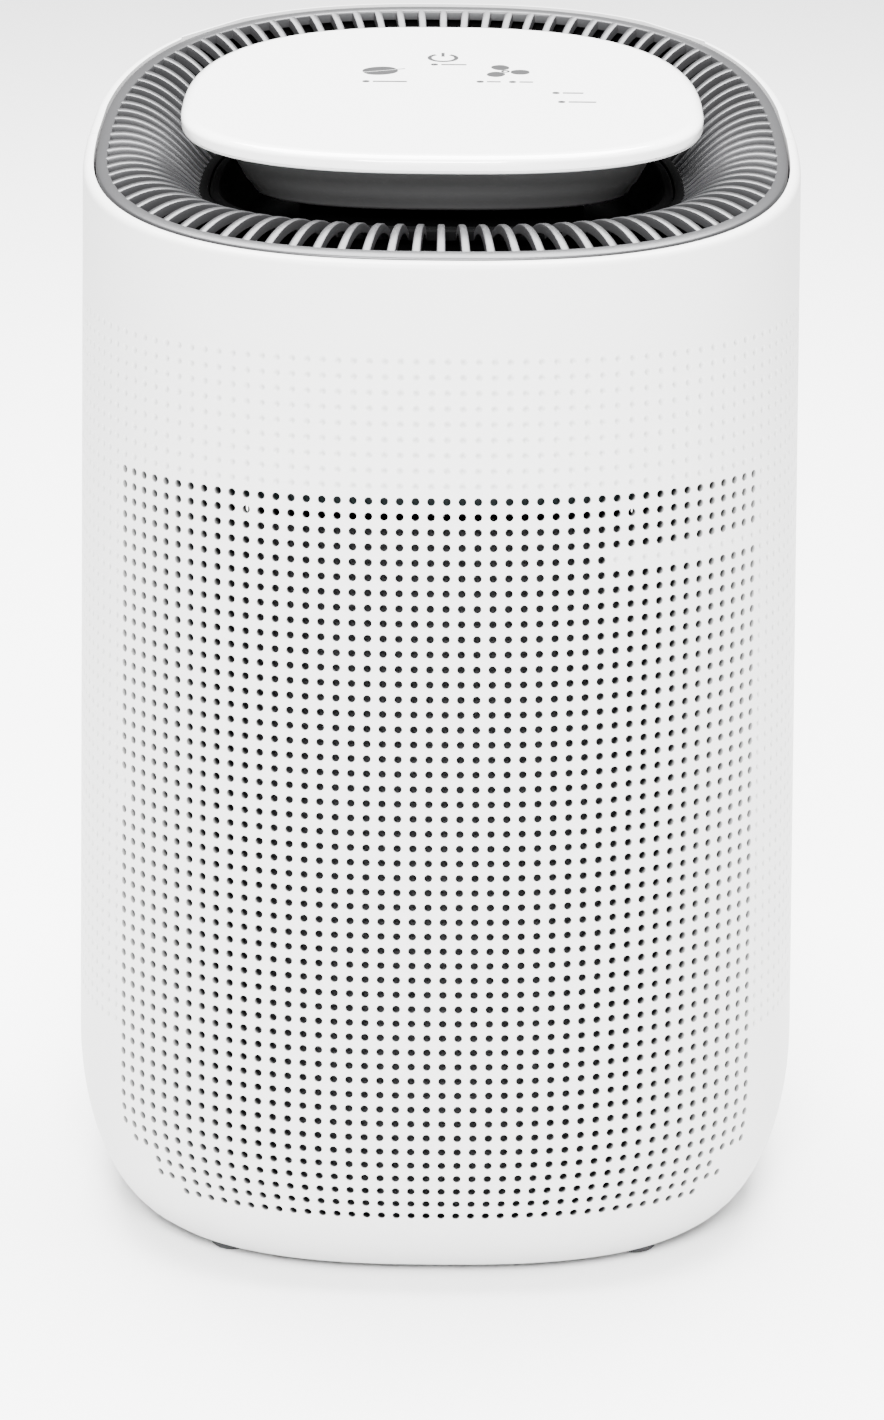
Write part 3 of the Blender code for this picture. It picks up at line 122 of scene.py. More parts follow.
def deeperThan(points, inset):
    # whether points lie further inside the section than an inset
    share, pull = shareAt(points[:, 2]), inset + footPullAt(points[:, 2])
    depth = np.where(points[:, 1] < centreY, casing["frontDepth"], casing["rearDepth"]) * share - pull
    across = np.abs(points[:, 0]) / (casing["halfWidth"] * share - pull)
    along = np.abs(points[:, 1] - centreY) / depth
    return across ** casing["squareness"] + along ** casing["squareness"] < 1


def markDepths(mesh, points):
    # two attributes for the white plastic, both masks of painted shade: bore is 1 on the inner face of the
    # wall, where the drilled holes end, and the dimple mask is 1 at the middle of a dimple
    inner = deeperThan(points, 0.0025) & (points[:, 2] < field["firstRow"] + field["pitch"])
    dimpleShade = deeperThan(points, 0.0003) & ~deeperThan(points, 0.0012) & (points[:, 2] < 0.29)
    for name, values in (("bore", inner), ("dimpleShade", dimpleShade)):
        layer = mesh.attributes.new(name, "FLOAT", "POINT")
        layer.data.foreach_set("value", values.astype(np.float32))


# mesh helpers
def finishMesh(name, verts, faces, body, material, slot, sharpAngle=35, replaces=()):
    mesh = bpy.data.meshes.new(name)
    mesh.from_pydata(np.asarray(verts, float).reshape(-1, 3).tolist(), [], faces)
    bm = bmesh.new()
    bm.from_mesh(mesh)
    bmesh.ops.recalc_face_normals(bm, faces=bm.faces)
    bm.to_mesh(mesh)
    bm.free()
    mesh.shade_smooth()
    mesh.set_sharp_from_angle(angle=math.radians(sharpAngle))
    mesh.materials.append(material)
    if slot == "white_shell":
        markDepths(mesh, np.asarray(verts, float).reshape(-1, 3))
    piece = bpy.data.objects.new(name, mesh)
    bpy.context.scene.collection.objects.link(piece)
    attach(piece, body)
    if replaces:
        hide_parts(*replaces)
    print(name, len(mesh.polygons), "faces")
    return piece


def gridFaces(index):
    # the quads of an index grid
    return np.stack([index[:-1, :-1], index[:-1, 1:], index[1:, 1:], index[1:, :-1]], axis=-1).reshape(-1, 4)


def loopLoft(rings, closed=False):
    # rings: rows x around x 3, each ring closed; flat caps at both ends unless the rows close too
    rows, around = rings.shape[:2]
    index = np.arange(rows * around).reshape(rows, around)
    index = np.concatenate([index, index[:, :1]], axis=1)
    if closed:
        index = np.concatenate([index, index[:1]], axis=0)
        return rings.reshape(-1, 3), gridFaces(index).tolist()
    faces = gridFaces(index).tolist()
    return rings.reshape(-1, 3), faces + [index[0, :-1].tolist(), index[-1, :-1].tolist()]


def joinParts(parts):
    # several (verts, faces) as one
    allVerts, allFaces, start = [], [], 0
    for verts, faces in parts:
        allVerts.append(verts)
        allFaces += [[corner + start for corner in face] for face in faces]
        start += len(verts)
    return np.concatenate(allVerts), allFaces


def pairSheets(outer, inner, kinds, cellRings):
    # outer and inner: rows x columns x 3 points of a wall's two faces. kinds per cell: -1 open, 0 plain,
    # 1 drilled through, 2 dimpled. Each open border gets a strip between the faces.
    rows, columns = outer.shape[:2]
    verts = [outer.reshape(-1, 3), inner.reshape(-1, 3)]
    top = np.arange(rows * columns).reshape(rows, columns)
    back = top + rows * columns
    count = 2 * rows * columns
    faces = []

    def corners(grid, i, j):
        return np.stack([grid[i, j], grid[i, j + 1], grid[i + 1, j + 1], grid[i + 1, j]], axis=-1)

    i, j = np.nonzero(kinds == 0)
    faces += corners(top, i, j).tolist() + corners(back, i, j)[:, ::-1].tolist()
    for kind, sides in ((1, 12), (2, 8)):
        i, j = np.nonzero(kinds == kind)
        if not len(i):
            continue
        front, rear, centre = cellRings(i, j, sides)
        ringIndex = count + np.arange(len(i) * sides).reshape(-1, sides)
        verts.append(front.reshape(-1, 3))
        count += len(i) * sides
        around = sides // 4
        squares = [(corners(top, i, j), ringIndex)]
        if kind == 1:
            rearIndex = count + np.arange(len(i) * sides).reshape(-1, sides)
            verts.append(rear.reshape(-1, 3))
            count += len(i) * sides
            squares.append((corners(back, i, j), rearIndex))
            following = np.roll(ringIndex, -1, axis=1)
            rearFollowing = np.roll(rearIndex, -1, axis=1)
            tube = np.stack([ringIndex, following, rearFollowing, rearIndex], axis=-1)
            faces += tube.reshape(-1, 4).tolist()
        else:
            middle = count + np.arange(len(i))
            verts.append(centre.reshape(-1, 3))
            count += len(i)
            following = np.roll(ringIndex, -1, axis=1)
            middles = np.repeat(middle[:, None], sides, axis=1)
            faces += np.stack([ringIndex, following, middles], axis=-1).reshape(-1, 3).tolist()
            faces += corners(back, i, j)[:, ::-1].tolist()
        for square, ring in squares:
            for side in range(4):
                a, b = square[:, side], square[:, (side + 1) % 4]
                spots = [ring[:, (side * around + step) % sides] for step in range(around + 1)]
                faces += np.stack([a, spots[1], spots[0]], axis=-1).tolist()
                faces += np.stack([b, spots[-1], spots[-2]], axis=-1).tolist()
                if around == 3:
                    faces += np.stack([a, b, spots[2], spots[1]], axis=-1).tolist()
                else:
                    faces += np.stack([a, b, spots[1]], axis=-1).tolist()

    solid = np.pad(kinds >= 0, 1)
    down = solid[1:, 1:-1] != solid[:-1, 1:-1]      # borders between rows of cells
    i, j = np.nonzero(down)
    faces += np.stack([top[i, j], top[i, j + 1], back[i, j + 1], back[i, j]], axis=-1).tolist()
    along = solid[1:-1, 1:] != solid[1:-1, :-1]     # borders between columns of cells
    i, j = np.nonzero(along)
    faces += np.stack([top[i, j], top[i + 1, j], back[i + 1, j], back[i, j]], axis=-1).tolist()
    return np.concatenate(verts), faces


def dropLoose(verts, faces):
    # leaves out the points that no face uses
    used = np.zeros(len(verts), bool)
    for face in faces:
        used[face] = True
    number = np.cumsum(used) - 1
    return verts[used], [[int(number[corner]) for corner in face] for face in faces]


# the white shells, with their drilled and dimpled field
field = {
    "pitch": 0.00435, "rowPitch": 0.00443, "firstRow": 0.241, "holeRows": 50, "dimpleRows": 9,
    "holeColumns": 23, "sideRows": 39, "seamMark": 0.27, "seamRoom": 0.004,
    "holeShare": 0.265, "holeFlare": 1.75, "dimpleDepth": 0.00060,
    # columns that the lowest rows lose at each end
    "trims": {46: (1, 0), 47: (3, 3), 48: (3, 2), 49: (5, 4)},
    "blindRow": 4, "blindFrom": 11, "blindLeftRows": (21, 22),
}
markStep = field["pitch"] / (perimeter * shareAt(field["firstRow"]))

# distance down the profile, in rows, and back to a height
pathHeights = np.linspace(0.300, casing["low"], 4000)
pathPull = footPullAt(pathHeights) + casing["halfWidth"] * (1 - shareAt(pathHeights))
pathLength = np.concatenate([[0], np.cumsum(np.hypot(np.diff(pathHeights), np.diff(pathPull)))])
pathRows = (pathLength - np.interp(-field["firstRow"], -pathHeights, pathLength)) / field["rowPitch"]


def heightAtRow(row):
    return np.interp(row, pathRows, pathHeights)


def rowAtHeight(height):
    return np.interp(-height, -pathHeights, pathRows)


def fieldRings(marks, rows, wall):
    # rings of a cell: circle points round its middle, in marks and rows, on both faces of the wall
    def rings(i, j, sides):
        angle = math.radians(-135) + 2 * np.pi * np.arange(sides) / sides
        reach = 2 * field["holeShare"]
        markMiddle, markHalf = (marks[j] + marks[j + 1]) / 2, (marks[j + 1] - marks[j]) / 2
        rowMiddle, rowHalf = (rows[i] + rows[i + 1]) / 2, (rows[i + 1] - rows[i]) / 2
        mark = markMiddle[:, None] + markHalf[:, None] * reach * np.cos(angle)
        height = heightAtRow(rowMiddle[:, None] + rowHalf[:, None] * reach * np.sin(angle))
        centre = skin(markMiddle, heightAtRow(rowMiddle), field["dimpleDepth"])
        # a drilled hole widens inwards, so that its edge looks thin
        reach *= field["holeFlare"]
        rearMark = markMiddle[:, None] + markHalf[:, None] * reach * np.cos(angle)
        rearHeight = heightAtRow(rowMiddle[:, None] + rowHalf[:, None] * reach * np.sin(angle))
        return skin(mark, height, 0), skin(rearMark, rearHeight, wall), centre
    return rings


def wallRows():
    # the profile of a shell's wall as rows: field row numbers, with the rows above and below them
    first, last = -field["dimpleRows"] - 0.5, field["holeRows"] - 0.5
    fieldRows = np.arange(first, last + 0.5)
    footRows = np.linspace(last, pathRows[-1], 7)[1:]
    return fieldRows, footRows


def shellSheets(marks, rimMarks, ends, side):
    # marks: columns of the shell; the two end columns lie on the seam plane, and the rim takes its
    # height from rimMarks.
    # Rows from the flange up: flange edge, foot, field, plain band, rounded lip.
    fieldRows, footRows = wallRows()
    low, wall, lip = casing["low"], casing["wall"], casing["lipRound"]
    rowsUp = np.concatenate([footRows[::-1], fieldRows[::-1]])
    body = heightAtRow(rowsUp)
    seam = seamY + side * casing["gap"] / 2
    sheets = []
    for inset in (0, wall):
        base = low + inset
        heights = np.maximum(body, base)
        insets = np.full(len(heights), inset, float)
        flange = casing["flange"] - footPullAt(base)
        heights = np.concatenate([[base, base], heights])
        insets = np.concatenate([[flange, (flange + inset) / 2], insets])
        height = np.repeat(heights[:, None], len(marks), axis=1)
        depth = np.repeat(insets[:, None], len(marks), axis=1)
        rim = rimAt(rimMarks)
        top = body[-1]
        bandShare = np.linspace(0, 1, 7)[1:, None]
        bandRows = top + (rim - lip - top) * bandShare
        turns = np.radians(np.linspace(0, 90, 6))[1:, None]
        lipRows = rim - lip * (1 - np.sin(turns))
        lipInsets = lip * (1 - np.cos(turns)) if inset == 0 else np.full_like(turns, wall)
        height = np.concatenate([height, bandRows, lipRows])
        lipInsets = np.repeat(lipInsets, len(marks), axis=1)
        depth = np.concatenate([depth, np.full_like(bandRows, inset), lipInsets])
        mark = np.repeat(marks[None, :], len(height), axis=0)
        atSeam = markAtY(seam, height[:, 0], depth[:, 0])
        mark[:, 0], mark[:, -1] = ends(atSeam)
        sheets.append(skin(mark, height, depth))
    # rows outside the field have no number
    rowNumbers = np.full(len(sheets[0]), np.nan)
    rowNumbers[2:2 + len(rowsUp)] = rowsUp
    return sheets[0], sheets[1], rowNumbers


def buildFrontShell(material):
    lowestSeam = markAtY(seamY, casing["footHeight"] / 3, 0)
    reach = int((min(lowestSeam, field["seamMark"]) - field["seamRoom"]) / markStep)
    columns = np.arange(-reach, reach + 1) * markStep
    marks = np.concatenate([[0], columns, [0]])
    rimMarks = marks.copy()
    rimMarks[-1] = markAtY(seamY, casing["rimHeight"], 0)
    rimMarks[0] = -rimMarks[-1]
    outer, inner, rowNumbers = shellSheets(marks, rimMarks, lambda seam: (-seam, seam), -1)
    kinds = np.zeros((outer.shape[0] - 1, outer.shape[1] - 1), int)
    column = np.arange(kinds.shape[1]) - reach - 1          # 0 is the first one right of the middle
    for i in range(kinds.shape[0]):
        if np.isnan(rowNumbers[i]) or np.isnan(rowNumbers[i + 1]):
            continue
        row = round((rowNumbers[i] + rowNumbers[i + 1]) / 2)
        inField = (column >= -reach) & (column < reach)
        if rowNumbers[i] > field["holeRows"] - 0.4:
            continue
        half = field["holeColumns"]
        if row < field["sideRows"]:
            kinds[i, inField] = 2
        if row >= 0:
            lost = field["trims"].get(row, (0, 0))
            drilled = (column >= -half + lost[0]) & (column < half - lost[1])
            if row == field["blindRow"]:
                drilled &= column < field["blindFrom"]
            if row in field["blindLeftRows"]:
                drilled &= column > -half
            kinds[i, (column >= -half) & (column < half)] = 0 if row >= field["sideRows"] else 2
            kinds[i, drilled] = 1
    rows = np.where(np.isnan(rowNumbers), 0, rowNumbers)
    verts, faces = pairSheets(outer, inner, kinds, fieldRings(marks, rows, casing["wall"]))
    return finishMesh("front_casing", verts, faces, "casing", material, "white_shell", 20, ["front_shell"])


# the rear shell, with the openings for the filter door and the tank's face
opening = {"gap": 0.0006, "columns": 8}
doorBox = {"half": 0.0615, "low": 0.1085, "top": 0.2305}
tankLow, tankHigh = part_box("water_tank")
tankBox = {"half": tankHigh.x, "low": tankLow.z, "top": tankHigh.z}


def buildRearShell(material):
    clear, seamMark = opening["gap"], field["seamMark"]
    firstColumn = int(seamMark / markStep) + 1
    tankMark = markAtX(tankBox["half"] + clear, 0.10, 0)
    lastColumn = int(tankMark / markStep) - 1
    columns = np.arange(firstColumn, lastColumn + 1) * markStep
    middleCells = 2 * opening["columns"]
    doorEdge, tankEdge = doorBox["half"] + clear, tankBox["half"] + clear
    # X of the columns that follow planes, from the tank's edge over the door's to the middle
    planes = np.concatenate([[tankEdge], np.linspace(doorEdge, -doorEdge, middleCells + 1), [-tankEdge]])
    marks = np.concatenate([[0], columns, np.zeros(len(planes)), 1 - columns[::-1], [0]])
    isPlane = np.zeros(len(marks), bool)
    isPlane[1 + len(columns):1 + len(columns) + len(planes)] = True
    guess = marks.copy()
    guess[isPlane] = np.linspace(columns[-1], 1 - columns[-1], len(planes) + 2)[1:-1]
    guess[0], guess[-1] = seamMark, 1 - seamMark
    rimMarks = guess.copy()
    rimMarks[0] = markAtY(seamY, casing["rimHeight"], 0)
    rimMarks[-1] = 1 - rimMarks[0]
    planeMarks = markAtX(np.abs(planes), casing["rimHeight"], 0)
    rimMarks[isPlane] = np.where(planes < 0, 1 - planeMarks, planeMarks)
    outer, inner, rowNumbers = shellSheets(guess, rimMarks, lambda seam: (seam, 1 - seam), 1)
    # The plane columns follow their X, and the rows next to an opening follow its edges there.
    edges = [tankBox["low"] - clear, tankBox["top"] + clear, doorBox["low"] - clear, doorBox["top"] + clear]
    valid = np.nonzero(~np.isnan(rowNumbers))[0]
    knots = []
    for edge in edges:
        nearest = valid[np.argmin(np.abs(rowNumbers[valid] - rowAtHeight(edge)))]
        knots.append((nearest, edge))
    knotRows = np.array([valid[0]] + [knot[0] for knot in knots] + [valid[-1]])
    knotHeights = np.array([heightAtRow(rowNumbers[valid[0]])] + edges + [heightAtRow(rowNumbers[valid[-1]])])
    warped = np.interp(np.arange(valid[0], valid[-1] + 1), knotRows, knotHeights)
    for sheet, inset in ((outer, 0), (inner, casing["wall"])):
        heights = sheet[:, isPlane, 2].copy()
        heights[valid[0]:valid[-1] + 1] = np.maximum(warped, casing["low"] + inset)[:, None]
        rowInset = np.full(len(heights), float(inset))
        rowInset[:2] = casing["flange"] - footPullAt(casing["low"] + inset)
        if not inset:
            turns = np.radians(np.linspace(0, 90, 6))[1:]
            rowInset[-5:] = casing["lipRound"] * (1 - np.cos(turns))
        across = np.abs(planes)[None, :]
        mark = markAtX(across, heights, rowInset[:, None])
        mark = np.where(planes[None, :] < 0, 1 - mark, mark)
        sheet[:, isPlane] = skin(mark, heights, rowInset[:, None])
    kinds = np.zeros((outer.shape[0] - 1, outer.shape[1] - 1), int)
    first = 1 + len(columns)
    tankCells, doorCells = slice(first, first + len(planes) - 1), slice(first + 1, first + len(planes) - 2)
    kinds[knots[0][0]:knots[1][0], tankCells] = -1
    kinds[knots[2][0]:knots[3][0], doorCells] = -1
    sideCells = np.r_[1:len(columns), len(marks) - 1 - len(columns):len(marks) - 2]
    for i in range(kinds.shape[0]):
        if not (np.isnan(rowNumbers[i]) or np.isnan(rowNumbers[i + 1])):
            if round((rowNumbers[i] + rowNumbers[i + 1]) / 2) < field["sideRows"]:
                kinds[i, sideCells] = 2
    rows = np.where(np.isnan(rowNumbers), 0, rowNumbers)
    verts, faces = pairSheets(outer, inner, kinds, fieldRings(guess, rows, casing["wall"]))
    verts, faces = dropLoose(verts, faces)
    return finishMesh("rear_casing", verts, faces, "casing", material, "white_shell", 20, ["rear_shell"])


def hingeAxis():
    joint = next(joint for joint in frame["joints"] if joint["name"] == "door_hinge")
    return np.array(joint["pos_m"]), np.array(joint["axis"]) / np.linalg.norm(joint["axis"])


def hingeKnuckle(start, end, radius=0.0032, bore=0.0015, sides=32):
    # a bored cylinder along the hinge's axis, with softened ends
    origin, axis = hingeAxis()
    sideways = np.array([1.0, 0.0, 0.0])
    other = np.cross(axis, sideways)
    soft = 0.0004
    profile = [(bore, start), (radius - soft, start), (radius, start + soft), (radius, end - soft),
               (radius - soft, end), (bore, end)]
    angle = 2 * np.pi * np.arange(sides) / sides
    ring = np.cos(angle)[:, None] * sideways + np.sin(angle)[:, None] * other
    rings = np.stack([origin + axis * along + ring * reach for reach, along in profile])
    return loopLoft(rings, closed=True)


def buildKnuckles(material):
    end = (doorBox["top"] - doorBox["low"]) / hingeAxis()[1][2]
    gap, length = opening["gap"], 0.006
    fixed = [hingeKnuckle(-gap - length, -gap), hingeKnuckle(end + gap, end + gap + length)]
    verts, faces = joinParts(fixed)
    finishMesh("casing_knuckles", verts, faces, "casing", material, "white_shell")
    return [hingeKnuckle(gap, gap + length), hingeKnuckle(end - gap - length, end - gap)]


# the filter door: a curved panel with its own field of holes, a pull lip and clips
door = {"vents": 22, "ventRows": 20, "border": 3, "lip": ((0.0520, 0.160), (0.0575, 0.180)), "lipY": 0.1065}


def doorPanel():
    wide, tall = door["vents"] + 2 * door["border"], door["ventRows"] + 2 * door["border"]
    across = np.linspace(-doorBox["half"], doorBox["half"], wide + 1)
    heights = np.linspace(doorBox["low"], doorBox["top"], tall + 1)

    def place(x, height, inset):
        mark = markAtX(np.abs(x), height, inset)
        return skin(np.where(x < 0, 1 - mark, mark), height, inset)

    sheets = [place(across[None, :], heights[:, None], inset) for inset in (0, casing["wall"])]
    kinds = np.zeros((tall, wide), int)
    edge = door["border"]
    kinds[edge:-edge, edge:-edge] = 1

    def rings(i, j, sides):
        angle = math.radians(-135) + 2 * np.pi * np.arange(sides) / sides
        cellWide, cellTall = across[1] - across[0], heights[1] - heights[0]
        radius = field["holeShare"] * field["pitch"]
        x = (across[j] + cellWide / 2)[:, None] + radius * np.cos(angle)
        z = (heights[i] + cellTall / 2)[:, None] + radius * np.sin(angle)
        middleX, middleZ = (across[j] + cellWide / 2)[:, None], (heights[i] + cellTall / 2)[:, None]
        flare = field["holeFlare"]
        rear = place(middleX + (x - middleX) * flare, middleZ + (z - middleZ) * flare, casing["wall"])
        return place(x, z, 0), rear, place(x[:, :1], z[:, :1], 0)
    return pairSheets(*sheets, kinds, rings)


def roundedBox(low, high, radius=0.0008, steps=3):
    # a box whose corners are parts of a sphere: each point of a subdivided cube moves onto the rounded form
    bm = bmesh.new()
    bmesh.ops.create_cube(bm, size=2)
    bmesh.ops.bevel(bm, geom=bm.edges[:], offset=0.5, segments=steps, profile=0.5, affect="EDGES")
    low, high = np.array(low), np.array(high)
    points = np.array([vertex.co for vertex in bm.verts])
    half = (high - low) / 2
    core = half - radius
    inside = np.clip(points, -0.5, 0.5) / 0.5
    offset = (points - np.clip(points, -0.5, 0.5)) / 0.5
    verts = (low + high) / 2 + inside * core + offset * radius
    faces = [[vertex.index for vertex in face.verts] for face in bm.faces]
    bm.free()
    return verts, faces


def buildDoor(material, knuckles):
    (lipX0, lipZ0), (lipX1, lipZ1) = door["lip"]
    lip = roundedBox((lipX0, door["lipY"] - 0.007, lipZ0), (lipX1, door["lipY"], lipZ1), 0.0012)
    clips = []
    for side in (-1, 1):
        for z in (0.140, 0.205):
            ends = sorted((side * 0.0564, side * 0.0579))
            clips.append(roundedBox((ends[0], 0.080, z), (ends[1], 0.0975, z + 0.010), 0.0004))
    low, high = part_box("door_magnet")
    post = roundedBox((low.x, high.y + casing["gap"], low.z), (high.x, 0.0965, high.z), 0.0003)
    verts, faces = joinParts([doorPanel(), lip, post] + clips + knuckles)
    return finishMesh("filter_door_panel", verts, faces, "door", material, "white_shell", 40, ["filter_door"])


# the outlet: a dished ring of ribs between a plain band and an inner ring
grille = {
    "bandInset": 0.0037, "bandWidth": 0.0034, "bandRise": 0.6,
    "ribs": 96, "ribShare": 0.37, "ribLength": 0.026,
    "curve": 25.3, "innerRing": 0.003, "innerHeight": 0.3097, "thick": 0.0027, "around": 384, "edge": 0.0005,
}
ribStart = grille["bandInset"] + grille["bandWidth"]


def dishHeight(mark, inward):
    # rib surface: a straight run from the band to the inner ring plus a parabolic bulge.
    # The band, where inward is negative, slopes less steeply than the ribs' outer ends.
    rim = rimHeightAt(skin(mark, casing["rimHeight"], grille["bandInset"])[..., 1])
    length, curve = grille["ribLength"], grille["curve"]
    slope = (grille["innerHeight"] - rim) / length + curve * length
    start = rim + grille["bandRise"] * slope * grille["bandWidth"]
    onBand = rim + grille["bandRise"] * slope * (inward + grille["bandWidth"])
    share = np.clip(inward / length, 0, 1)
    onRib = start + (grille["innerHeight"] - start) * share + curve * length * length * share * (1 - share)
    return np.where(inward < 0, onBand, onRib), rim


def dishPoint(mark, inward, drop):
    mark, inward, drop = np.broadcast_arrays(mark, inward, drop)
    height, rim = dishHeight(mark, inward)
    inset = ribStart + inward
    full = grille["bandWidth"] + grille["ribLength"] + grille["innerRing"]
    share = np.clip((inset - grille["bandInset"]) / full, 0, 1)
    place = skin(mark, rim + (casing["rimHeight"] - rim) * share, inset)
    return np.stack([place[..., 0], place[..., 1], height - drop], axis=-1)


def ringSolid(inwardFrom, inwardTo):
    # a ring of the dish with softened upper edges
    edge, thick = grille["edge"], grille["thick"]
    mark = np.arange(grille["around"]) / grille["around"]
    soft = 0.3 * edge
    section = [(inwardFrom, thick), (inwardFrom, edge), (inwardFrom + soft, soft), (inwardFrom + edge, 0),
               (inwardTo - edge, 0), (inwardTo - soft, soft), (inwardTo, edge), (inwardTo, thick)]
    rings = np.stack([dishPoint(mark, inward, drop) for inward, drop in section])
    return loopLoft(rings, closed=True)


def ribSolids():
    # each rib is a bar along the dish: across it a flat crown with round shoulders, down to its thickness
    steps, thick = 14, grille["thick"]
    across = np.array([-1, -1, -0.86, -0.55, 0.55, 0.86, 1, 1]) * grille["ribShare"] / 2
    drop = np.array([thick, 0.0007, 0.00020, 0, 0, 0.00020, 0.0007, thick])
    inward = np.linspace(-0.0004, grille["ribLength"] + 0.0004, steps)
    number = np.arange(grille["ribs"])
    mark = (number[:, None, None] + across[None, None, :]) / grille["ribs"]
    points = dishPoint(mark, inward[None, :, None], drop[None, None, :])
    corner = len(across)
    block = steps * corner
    index = np.arange(block).reshape(steps, corner)
    index = np.concatenate([index, index[:, :1]], axis=1)
    one = gridFaces(index)
    faces = (one[None] + block * number[:, None, None]).reshape(-1, 4).tolist()
    caps = np.stack([index[0, :-1], index[-1, :-1]])
    faces += (caps[None] + block * number[:, None, None]).reshape(-1, corner).tolist()
    return points.reshape(-1, 3), faces


def buildGrille(material, shadeMaterial):
    band = ringSolid(-grille["bandWidth"], 0)
    verts, faces = ringSolid(grille["ribLength"], grille["ribLength"] + grille["innerRing"])
    # painted shade: the inner ring is near black because it lies in shade below the ribs
    finishMesh("outlet_inner_ring", verts, faces, "casing", shadeMaterial, "black_plastic", 38)
    verts, faces = joinParts([band, ribSolids()])
    return finishMesh("outlet_ribs", verts, faces, "casing", material, "gunmetal", 38, ["top_grille"])


bowl = {"wall": 0.003, "floor": 0.289, "lean": 0.0046, "around": 192, "hole": 0.0036}


def buildBowl(material):
    edge = ribStart + grille["ribLength"] + grille["innerRing"] + casing["gap"]
    mark = np.arange(bowl["around"]) / bowl["around"]
    wall, floor, lean = bowl["wall"], bowl["floor"], bowl["lean"]
    top = grille["innerHeight"]
    section = [(edge + lean, floor), (edge, top - 0.0006), (edge + 0.0006, top), (edge + wall - 0.0006, top),
               (edge + wall, top - 0.0006), (edge + wall + lean * 0.8, floor + wall + 0.003),
               (edge + wall + lean + 0.002, floor + wall + 0.0006),
               (edge + wall + lean + 0.005, floor + wall)]
    rings = []
    for inset, height in section:
        ring = skin(mark, casing["rimHeight"], inset)
        ring[:, 2] = height
        rings.append(ring)
    # the floor's two faces run in to a round hole for the cable
    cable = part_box("control_cable")
    holeY = cable[1].y - (cable[1].x - cable[0].x) / 2
    angle = np.interp(mark, tableMark, turn)
    holeX, holeAlong = bowl["hole"] * np.sin(angle), holeY - bowl["hole"] * np.cos(angle)
    hole = np.stack([holeX, holeAlong, np.zeros(len(mark))], axis=-1)
    lower, upper = hole.copy(), hole.copy()
    lower[:, 2], upper[:, 2] = floor, floor + wall
    verts, faces = loopLoft(np.stack(rings + [upper, lower]), closed=True)
    # painted shade: the bowl takes the near-black shade material, darker than its black plastic, for the
    # shade under the ribs
    return finishMesh("outlet_dish", verts, faces, "casing", material, "black_plastic", 38, ["outlet_bowl"])


def buildShadeSkirt(material):
    # painted shade: a near-black skirt inside the shells, from above the fan's plate to below the ribs,
    # standing in for the shade inside the casing
    mark = np.arange(bowl["around"]) / bowl["around"]
    near, far = casing["wall"] + 0.0006, casing["wall"] + 0.0014
    low = np.full(len(mark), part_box("fan_plate")[1].z + 0.002)
    high = rimAt(mark) - grille["thick"] - 0.0020
    corners = [(low, near), (high, near), (high, far), (low, far)]
    rings = np.stack([skin(mark, height, inset) for height, inset in corners])
    verts, faces = loopLoft(rings, closed=True)
    return finishMesh("outlet_shade_skirt", verts, faces, "casing", material, "black_plastic", 38)


# the control head: a glossy panel on a pedestal
head = {
    "half": 0.0753, "front": 0.053, "rear": 0.089, "thick": 0.0055, "slope": 0.07, "height": 0.3334,
    "topInset": 0.0107, "footInset": 0.0205, "foot": 0.3092, "wall": 0.0025, "around": 288,
    "roundIn": 0.0034, "roundDown": 0.0021, "parting": 0.0011,
}


def panelTopAt(y):
    return head["height"] + head["slope"] * (y - centreY)


def headRing(inset, drop=None, height=None):
    # a ring of the superellipse, parallel to the sloping panel at a drop below it, or level
    unitX, unitY = unitAt(np.arange(head["around"]) / head["around"])
    depth = np.where(unitY < 0, head["front"], head["rear"]) - inset
    x, y = unitX * (head["half"] - inset), centreY + unitY * depth
    z = panelTopAt(y) - drop if height is None else np.full(len(x), height)
    return np.stack([x, y, z], axis=-1)


def quarterRound(inFrom, inTo, dropFrom, dropTo, steps):
    # insets and drops along a quarter of an ellipse, from its steep end to its flat end
    angle = np.linspace(0, math.pi / 2, steps)
    insets = inFrom + (inTo - inFrom) * (1 - np.cos(angle))
    return list(zip(insets, dropFrom + (dropTo - dropFrom) * np.sin(angle)))


def buildPanel(material):
    thick, line = head["thick"], head["parting"]
    # underside, rounded lower edge, then the groove of the parting line
    section = [(0.0028, thick), (0.0010, thick - 0.0003), (0.0004, thick - 0.0007), (0.0003, thick - line),
               (0.0006, thick - line - 0.00005), (0.0006, thick - line - 0.00030),
               (0.0001, thick - line - 0.00035)]
    section += quarterRound(0.0, head["roundIn"], head["roundDown"], 0.0, 10)
    rings = [headRing(inset, drop=drop) for inset, drop in section]
    # two more rings keep the flat top's shading flat next to the rounded edge
    rings += [headRing(head["roundIn"] + 0.0005, drop=0), headRing(head["roundIn"] + 0.004, drop=0)]
    verts, faces = loopLoft(np.stack(rings))
    return finishMesh("panel_cap", verts, faces, "casing", material, "gloss_panel", 50, ["control_panel"])


